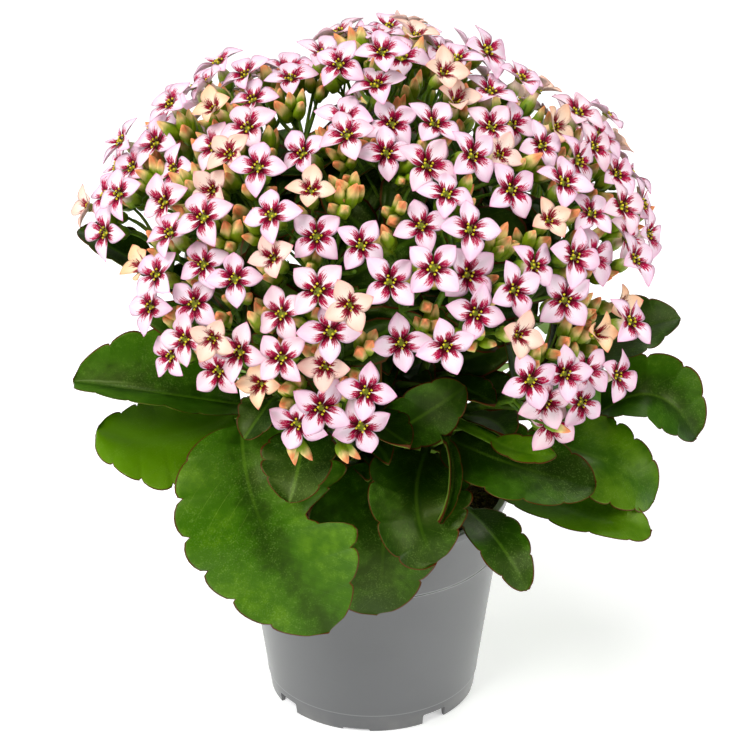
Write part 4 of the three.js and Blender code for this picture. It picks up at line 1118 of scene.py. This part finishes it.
# the tube has four narrow lobes that stand round its foot, each given by height, distance and half width
tube = {
    "sides": 8, "ridge": 0.06, "twist": 0,
    "profile": ((-1.02, 0.05), (-0.98, 0.14), (-0.86, 0.21), (-0.66, 0.245), (-0.42, 0.21), (-0.22, 0.135),
                (-0.07, 0.13), (0.0, 0.15)),
    "lobes": ((-1.0, 0.09, 0.05), (-0.82, 0.225, 0.075), (-0.66, 0.26, 0.05)), "lobeTip": (-0.52, 0.285),
}
budShape = {
    "sides": 8, "ridge": 0.1, "twist": 0.9,
    "profile": ((-1.0, 0.045), (-0.96, 0.125), (-0.84, 0.195), (-0.64, 0.222), (-0.42, 0.185), (-0.24, 0.13),
                (-0.09, 0.065), (0.0, 0)),
}
stamens = {
    "disc": ((0.13, -0.03), (0.12, 0.0), (0.05, 0.02)), "count": 8, "places": ((0.115, 0.075), (0.07, 0.1)),
    "size": 0.03, "thread": 2.6, "first": 0.2,
}
# a bract is a small plain leaf that stands where the head branches
bractShape = {
    "outline": ((0, 0.03), (0.1, 0.035), (0.2, 0.12), (0.35, 0.21), (0.52, 0.25), (0.7, 0.22), (0.86, 0.14),
                (0.96, 0.06)),
    "columns": (-1, -0.5, 0, 0.5, 1), "thick": 0.05, "crease": 0.4, "bow": 1, "markScale": 30,
    "bent": {"Hollow": 0.5, "Bend": 0.2, "Twist": 0.3},
}


# A thin blade along its rib, closed at the tip, with marks that are worked out ring by ring
def masterBlade(name, form, marksOf):
    rings, marks = [], []
    inner = form["columns"][1:-1][::-1]
    t, upper = np.array([*form["columns"], *inner]), np.repeat([1, 0], [len(inner) + 2, len(inner)])
    for x, half in (*form["outline"], (1, 0)):
        if half == 0:
            t, upper = np.zeros(1), np.ones(1)
        z = form["crease"] * np.abs(t) ** form["bow"] * half - (1 - upper) * form["thick"] * (1 - t * t)
        along = np.full(len(t), x)
        rings.append(np.stack([along, t * half, z], 1))
        marks.append(marksOf(along, half, t, upper))
    points, faces = loft(rings)
    attributes = {key: np.concatenate([mark[key] for mark in marks]) for key in marks[0]}
    return meshObject(name, points, faces, {"local": points, **attributes}, scale=1)


def petalMarks(along, half, t, upper):
    return {"mark": np.stack([t, along, upper], 1)}


def bractMarks(along, half, t, upper):
    scale = bractShape["markScale"]
    wide = half * scale
    return {"top": upper, "rim": wide * (1 - np.abs(t)), "aside": t * wide, "run": along * scale}


# Adds a closed piece to a part's points and faces
def joined(points, faces, rings):
    more, extra = loft(rings)
    extra = [[i + len(points) for i in face] for face in facingOut(more, extra)]
    return np.concatenate([points, more]), faces + extra, len(more)


# A turned wall with ridges, closed by a tip or with lobes round its foot
def masterTurned(name, form):
    rings, marks = [], []
    around = np.arange(form["sides"]) * 2 * math.pi / form["sides"]
    for z, radius in form["profile"]:
        if radius == 0:
            rings.append(np.array([[0, 0, z]]))
            marks.append((0, 1 + z, 1))
            continue
        turns = around + form["twist"] * (z + 1)
        wide = radius * (1 + form["ridge"] * np.cos(4 * around))
        rings.append(np.stack([wide * np.cos(turns), wide * np.sin(turns), np.full(len(turns), z)], 1))
        marks.extend((0.5 - 0.5 * math.cos(4 * a), 1 + z, 1) for a in around)
    points, faces = loft(rings)
    for k in range(4 if "lobes" in form else 0):
        turn = (k + 0.5) * math.pi / 2
        way, side = vec(math.cos(turn), math.sin(turn), 0), vec(-math.sin(turn), math.cos(turn), 0)
        lobe = []
        for z, out, half in form["lobes"]:
            middle = way * out + vec(0, 0, z)
            corners = [-side * half, way * 0.02, side * half, -way * 0.03]
            lobe.append(np.array([middle + corner for corner in corners]))
        z, out = form["lobeTip"]
        points, faces, count = joined(points, faces, lobe + [np.array([way * out + vec(0, 0, z)])])
        marks.extend([(0, 0.05, 1)] * count)
    return meshObject(name, points, faces, {"local": points, "mark": marks}, scale=1)


# The throat's disc with a ring of eight anthers on short threads
def masterStamens():
    s, turns = stamens, np.arange(8) * math.pi / 4
    disc = [np.stack([r * np.cos(turns), r * np.sin(turns), np.full(8, z)], 1) for r, z in s["disc"]]
    points, faces = loft(disc)
    marks = [(0, 0, 1)] * len(points)
    for k in range(s["count"]):
        far, high = s["places"][k % 2]
        a = k * 2 * math.pi / s["count"] + s["first"]
        middle = vec(far * math.cos(a), far * math.sin(a), high)
        ring = [middle + s["size"] * vec(math.cos(b), math.sin(b), 0) for b in np.arange(4) * math.pi / 2]
        foot, top = middle - vec(0, 0, s["size"] * s["thread"]), middle + vec(0, 0, s["size"])
        points, faces, count = joined(points, faces, [np.array(r) for r in ([foot], ring, [top])])
        marks += [(0.0 if k % 4 == 1 else 1.0, 0.3 if i == 0 else 1.0, 1) for i in range(count)]
    return meshObject("stamenMaster", points, faces, {"local": points, "mark": marks}, scale=1)


masters = {
    "bract": masterBlade("bractMaster", bractShape, bractMarks),
    "petal": masterBlade("petalMaster", petal, petalMarks),
    "tube": masterTurned("tubeMaster", tube), "bud": masterTurned("budMaster", budShape),
    "stamens": masterStamens(),
}


def row(seat, ahead, out, size, cup=0.0, fade=0.0, luck=0.5):
    return {"seat": seat, "ahead": ahead, "out": out, "size": size, "cup": cup, "fade": fade, "luck": luck}


extra = {
    "clusters": 9, "perCluster": 5, "deep": (14, 9), "least": 10, "most": 14.5, "stand": 0.5,
    "lean": (0.3, 0.25), "rise": (7, 5), "leader": 3, "ripe": (0.5, 0.5), "stemSides": 7,
    "bracts": 6, "bract": 32, "bractFloor": 198, "bractDepth": 62, "basal": 4, "basalSize": 34,
}
flower = {
    "tube": (11.0, 1.6), "size": (0.94, 0.09), "old": (0.55, 0.45), "fresh": (0.12, 0.8), "askew": 0.08,
    "lift": 0.3, "foot": 0.98, "stamens": 1.5, "seeds": (58, 13, 7, 997),
}
# how thick each kind of stalk is at its foot and top, and its steps
girths = {
    "bloom": (0.75, 0.62), "bud": (0.7, 0.5), "spray": (0.95, 0.8), "sprayBud": (0.6, 0.42, 5),
    "hanging": (0.9, 0.7), "hangingBud": (0.6, 0.45, 5),
}
# buds that hang under the lowest blooms in front: hub, the way they point and how many
hanging = {
    "front_low": (((-31, -96, 170), (0.25, -0.5, -0.85), 3), ((-14, -99, 169), (0.5, -0.5, -0.7), 2)),
    "right_low": (((63, -93, 173), (0.8, -0.5, -0.3), 1),),
}


# A row of the leafy pieces, which also carries how bright its green is
def leafRow(seat, ahead, normal, size, cup, luck, tone):
    return {**row(seat, ahead, normal, size, cup, 0, luck), "tone": tone}


# A random number: the first of two, and up to the second more
def some(span, random):
    return span[0] + span[1] * random()


# A stalk from a root on a branch to the foot of a bloom or bud, which it meets along that thing's own axis
def addStalk(growth, root, axis, foot, normal, thick, thin, steps=9):
    run = np.linalg.norm(foot - root)
    bend = [root, root + axis * 0.25 * run, foot - normal * 0.4 * run, foot]
    path = [bezier(bend, t) for t in np.linspace(0, 1, steps)]
    growth["stalks"].append((path, np.linspace(thick, thin, steps)))


def addBud(growth, kind, root, leaving, tip, way, size, ripe, luck):
    growth["bud"].append(row(tip, across(way)[0], way, size, 0, ripe, luck))
    addStalk(growth, root, leaving, tip - way * size * flower["foot"], way, *girths[kind])


def addBranches(growth, start, knee, branches):
    ends = [(branch["from"], branch["to"]) for branch in branches]
    shares = np.linspace(0, 3, 16)
    course = np.array([start, knee, *ends[0]])
    path = np.stack([np.interp(shares, range(4), course[:, i]) for i in range(3)], 1)
    radii = (stalk["radius"], stalk["radius"], stalk["thick"], stalk["endGirth"])
    growth["stalks"].append((path, np.interp(shares, range(4), radii)))
    for near, far in ends[1:]:
        addStalk(growth, near, unit(near - knee), far, unit(far - near), *stalk["armGirth"])


def addBlooms(growth, one, random):
    for b in one["blooms"]:
        fresh, old = flower["fresh"], flower["old"]
        fade = some(old, random) if b["fading"] else fresh[0] * (random() > fresh[1])
        long = some(flower["tube"], random)
        for k in range(4):
            turn = b["spin"] + k * math.pi / 2 + (random() - 0.5) * flower["askew"]
            ahead = b["u"] * math.cos(turn) + b["v"] * math.sin(turn)
            size = b["radius"] * some(flower["size"], random)
            cup = b["cup"] + (random() - 0.5) * flower["lift"] + fade * flower["lift"] * random()
            growth["petal"].append(row(b["centre"], ahead, b["normal"], size, cup, fade, random()))
        growth["tube"].append(row(b["centre"], b["u"], b["normal"], long, 0, fade))
        size = b["radius"] * flower["stamens"]
        growth["stamens"].append(row(b["centre"], b["u"], b["normal"], size, 0, fade, random()))
        foot = b["centre"] - b["normal"] * long * flower["foot"]
        addStalk(growth, b["root"], b["axis"], foot, b["normal"], *girths["bloom"])
    for b in one["buds"]:
        addBud(growth, "bud", b["root"], b["axis"], b["tip"], b["normal"], b["length"],
               some(extra["ripe"], random), random())


# Small leaves along the head's shoot, and along its branches where they end high or deep inside the dome
def addLeaves(one, branches, random):
    outer = unit(one["middle"] - dome["centre"])
    for branch in branches:
        for k in range(extra["bracts"]):
            share = 0.1 + 0.75 * (k + random()) / extra["bracts"]
            turn = random() * 2 * math.pi
            flat = one["u"] * math.cos(turn) + one["v"] * math.sin(turn)
            ahead = unit(flat + outer * (0.3 * random() - 0.1))
            normal = unit(outer - ahead * outer.dot(ahead))
            size = extra["bract"] * (0.75 + 0.5 * random())
            seat = mix(branch["from"], branch["to"], share)
            # bracts take a darker tone, which is painted shade inside the dome
            bract = leafRow(seat, ahead, normal, size, 0.25 * random(), random(), -0.45 + 0.3 * random())
            x, y, z = seat + ahead * size
            if z > extra["bractFloor"] or math.hypot(x, y) < extra["bractDepth"]:
                bracts.append(bract)
    name = one["name"]
    for k in range(extra["basal"]):
        share = 0.5 + 0.5 * (k + random()) / extra["basal"]
        ahead = unit(outward(heads[name][4] + 70 * (random() - 0.5), 55 + 30 * random()))
        normal = unit(vec(0, 0, 1) - ahead * ahead[2])
        size = extra["basalSize"] * (0.8 + 0.4 * random())
        # the leaves along the shoot take a darker tone, which is painted shade inside the dome
        bracts.append(leafRow(shootPoint(name, share), ahead, normal, size, 0.2 * random(), random(),
                              -0.35 + 0.3 * random()))


# Clusters of younger buds fill the gaps between the open blooms, just under them
def addClusters(growth, one, ends, random, opened):
    for k in range(extra["clusters"]):
        ground = spiralPlace(one, k * one["count"] / extra["clusters"] + 0.5, k + 0.25)
        normal = facingAt(ground, one["middle"], [random(), random(), random()])
        hub = ground - normal * some(extra["deep"], random)
        near = min(ends, key=lambda end: np.linalg.norm(end - hub))
        addStalk(growth, near, unit(hub - near + normal), hub, normal, *girths["spray"])
        stand = unit(normal + vec(0, 0, extra["stand"]))
        u, v = across(stand)
        for j in range(extra["perCluster"]):
            a = j * golden + k
            lean = some(extra["lean"], random) if j else 0
            way = unit(stand + (u * math.cos(a) + v * math.sin(a)) * lean)
            size = mix(extra["least"], extra["most"], random())
            rise = some(extra["rise"], random) + (0 if j else extra["leader"])
            tip = hub + way * (rise + size * 0.6)
            if budFits(tip, way, size, opened):
                addBud(growth, "sprayBud", hub, stand, tip, way, size, random(), random())


def addHanging(growth, name, ends, random):
    for place, way, many in hanging.get(name, ()):
        hub, fall = vec(*place), unit(vec(*way))
        near = min(ends, key=lambda end: np.linalg.norm(end - hub))
        addStalk(growth, near, unit(hub - near), hub, fall, *girths["hanging"])
        u, v = across(fall)
        for j in range(many):
            a = j * golden
            way = unit(fall + (u * math.cos(a) + v * math.sin(a)) * 0.45)
            size = extra["least"] * (0.9 + 0.3 * random())
            tip = hub + way * (3 + size)
            addBud(growth, "hangingBud", hub, fall, tip, way, size, 0.6 + 0.4 * random(), random())


def makeHead(one, opened):
    name = one["name"]
    first, perLetter, perLength, turnover = flower["seeds"]
    random = makeRandom(first + perLetter * len(name) + int(one["middle"][0] * perLength) % turnover)
    growth = {key: [] for key in ("petal", "tube", "stamens", "bud", "stalks")}
    start, knee, branches = branchesOf(one)
    ends = [branch["to"] for branch in branches]
    addBranches(growth, start, knee, branches)
    addBlooms(growth, one, random)
    addLeaves(one, branches, random)
    addClusters(growth, one, ends, random, opened)
    addHanging(growth, name, ends, random)
    blades = grown(pointCloud("petalPoints", growth["petal"]), "parts", Part=masters["petal"],
                   Finish=finishes["petal"], **petal["bent"])
    greens = [grown(lines("stalkLines", growth["stalks"]), "stalks", Sides=extra["stemSides"],
                    Finish=finishes["stalk"])]
    for key, finish in (("tube", "tube"), ("stamens", "stamen"), ("bud", "bud")):
        greens.append(grown(pointCloud(key + "Points", growth[key]), "parts", Part=masters[key],
                            Finish=finishes[finish]))
    flowers, sprays = linked("blooms_" + name, blades), gathered("sprays_" + name, greens)
    for piece, slot in ((flowers, "petal"), (sprays, "stem")):
        piece.data.shade_smooth()
        finished(piece, slot, "head_" + name)
    return len(one["blooms"]), len(growth["bud"])


grownHeads, opened = growHeads()
bracts = []
counts = [makeHead(one, opened) for one in grownHeads]
# leaves between the heads that close the view into the dome: where each starts, its azimuth, tilt and size
fillers = (
    ((28, -28, 166), 66, 62, 40), ((36, -34, 158), 60, 78, 34), ((50, -40, 180), 48, 34, 34),
    ((-62, -24, 178), -76, 66, 36), ((-40, -44, 186), -40, 60, 32), ((14, -50, 186), 30, 56, 32),
)
for place, az, tilt, size in fillers:
    ahead, front = outward(az, tilt), outward(0, 60)
    # the fillers take a darker tone, which is painted shade inside the dome
    bracts.append(leafRow(vec(*place), ahead, unit(front - ahead * front.dot(ahead)), size, 0.15, 0.5, -0.3))
bractPiece = linked("dome_bracts", grown(pointCloud("bractPoints", bracts), "parts", Part=masters["bract"],
                                         Finish=finishes["leaf"], **bractShape["bent"]))
bractPiece.data.shade_smooth()
finished(bractPiece, "leaf", *("head_" + name for name in heads))
for master in masters.values():
    bpy.data.objects.remove(master)
print("blooms:", sum(c[0] for c in counts), "buds:", sum(c[1] for c in counts))


# Studio
studio = {
    "camera": (0.0011, -0.8435, 0.5371), "pitch": 24.67, "lens": 104.67, "sensor": 36, "world": 0.14,
    "floor": (0.93, 0.93, 0.93), "floorHalf": 4, "glow": 0.42,
}
# place, the height on the plant's axis that it is aimed at, size and power
lamps = {
    "keyLight": ((-0.9, -1.1, 1.5), 0.17, 0.9, 25.5),
    "fillLight": ((1.3, -0.6, 0.8), 0.15, 0.9, 10.5),
    "sideLight": ((-1.5, -0.1, 0.5), 0.1, 0.7, 7),
    "topLight": ((-0.1, -0.2, 1.7), 0.2, 0.8, 9),
    "rimLight": ((0.5, 1.2, 1.3), 0.2, 0.8, 7),
}


def areaLight(name, place, aim, size, power):
    data = bpy.data.lights.new(name, "AREA")
    data.shape, data.size, data.energy = "DISK", size, power
    lamp = linked(name, data)
    lamp.location = place
    x, y, z = vec(*place) - vec(0, 0, aim)
    lamp.rotation_euler = (math.atan2(math.hypot(x, y), z), 0, math.atan2(y, x) + math.pi / 2)


def makeStudio():
    scene = bpy.context.scene
    pale = Finish("paleFloor", Base_Color=(*studio["floor"], 1), Roughness=0.9, Specular_IOR_Level=0.1,
                  Emission_Color=(1, 1, 1, 1), Emission_Strength=studio["glow"])
    corners = [vec(x, y, 0) * studio["floorHalf"] for x, y in ((-1, -1), (1, -1), (1, 1), (-1, 1))]
    floor = meshObject("paleFloor", corners, [[0, 1, 2, 3]], scale=1, material=pale.material)
    scene.world = bpy.data.worlds.new("softRoom")
    scene.world.use_nodes = True
    background = scene.world.node_tree.nodes["Background"]
    background.inputs["Color"].default_value = (1, 1, 1, 1)
    background.inputs["Strength"].default_value = studio["world"]
    for name, lamp in lamps.items():
        areaLight(name, *lamp)
    data = bpy.data.cameras.new("photoView")
    data.lens, data.sensor_width = studio["lens"], studio["sensor"]
    camera = linked("photoView", data)
    camera.location = studio["camera"]
    camera.rotation_euler = (math.radians(90 - studio["pitch"]), 0, 0)
    scene.camera = camera
    scene.view_settings.view_transform = "Standard"
    scene.view_settings.look = "None"


makeStudio()
print("studio set")
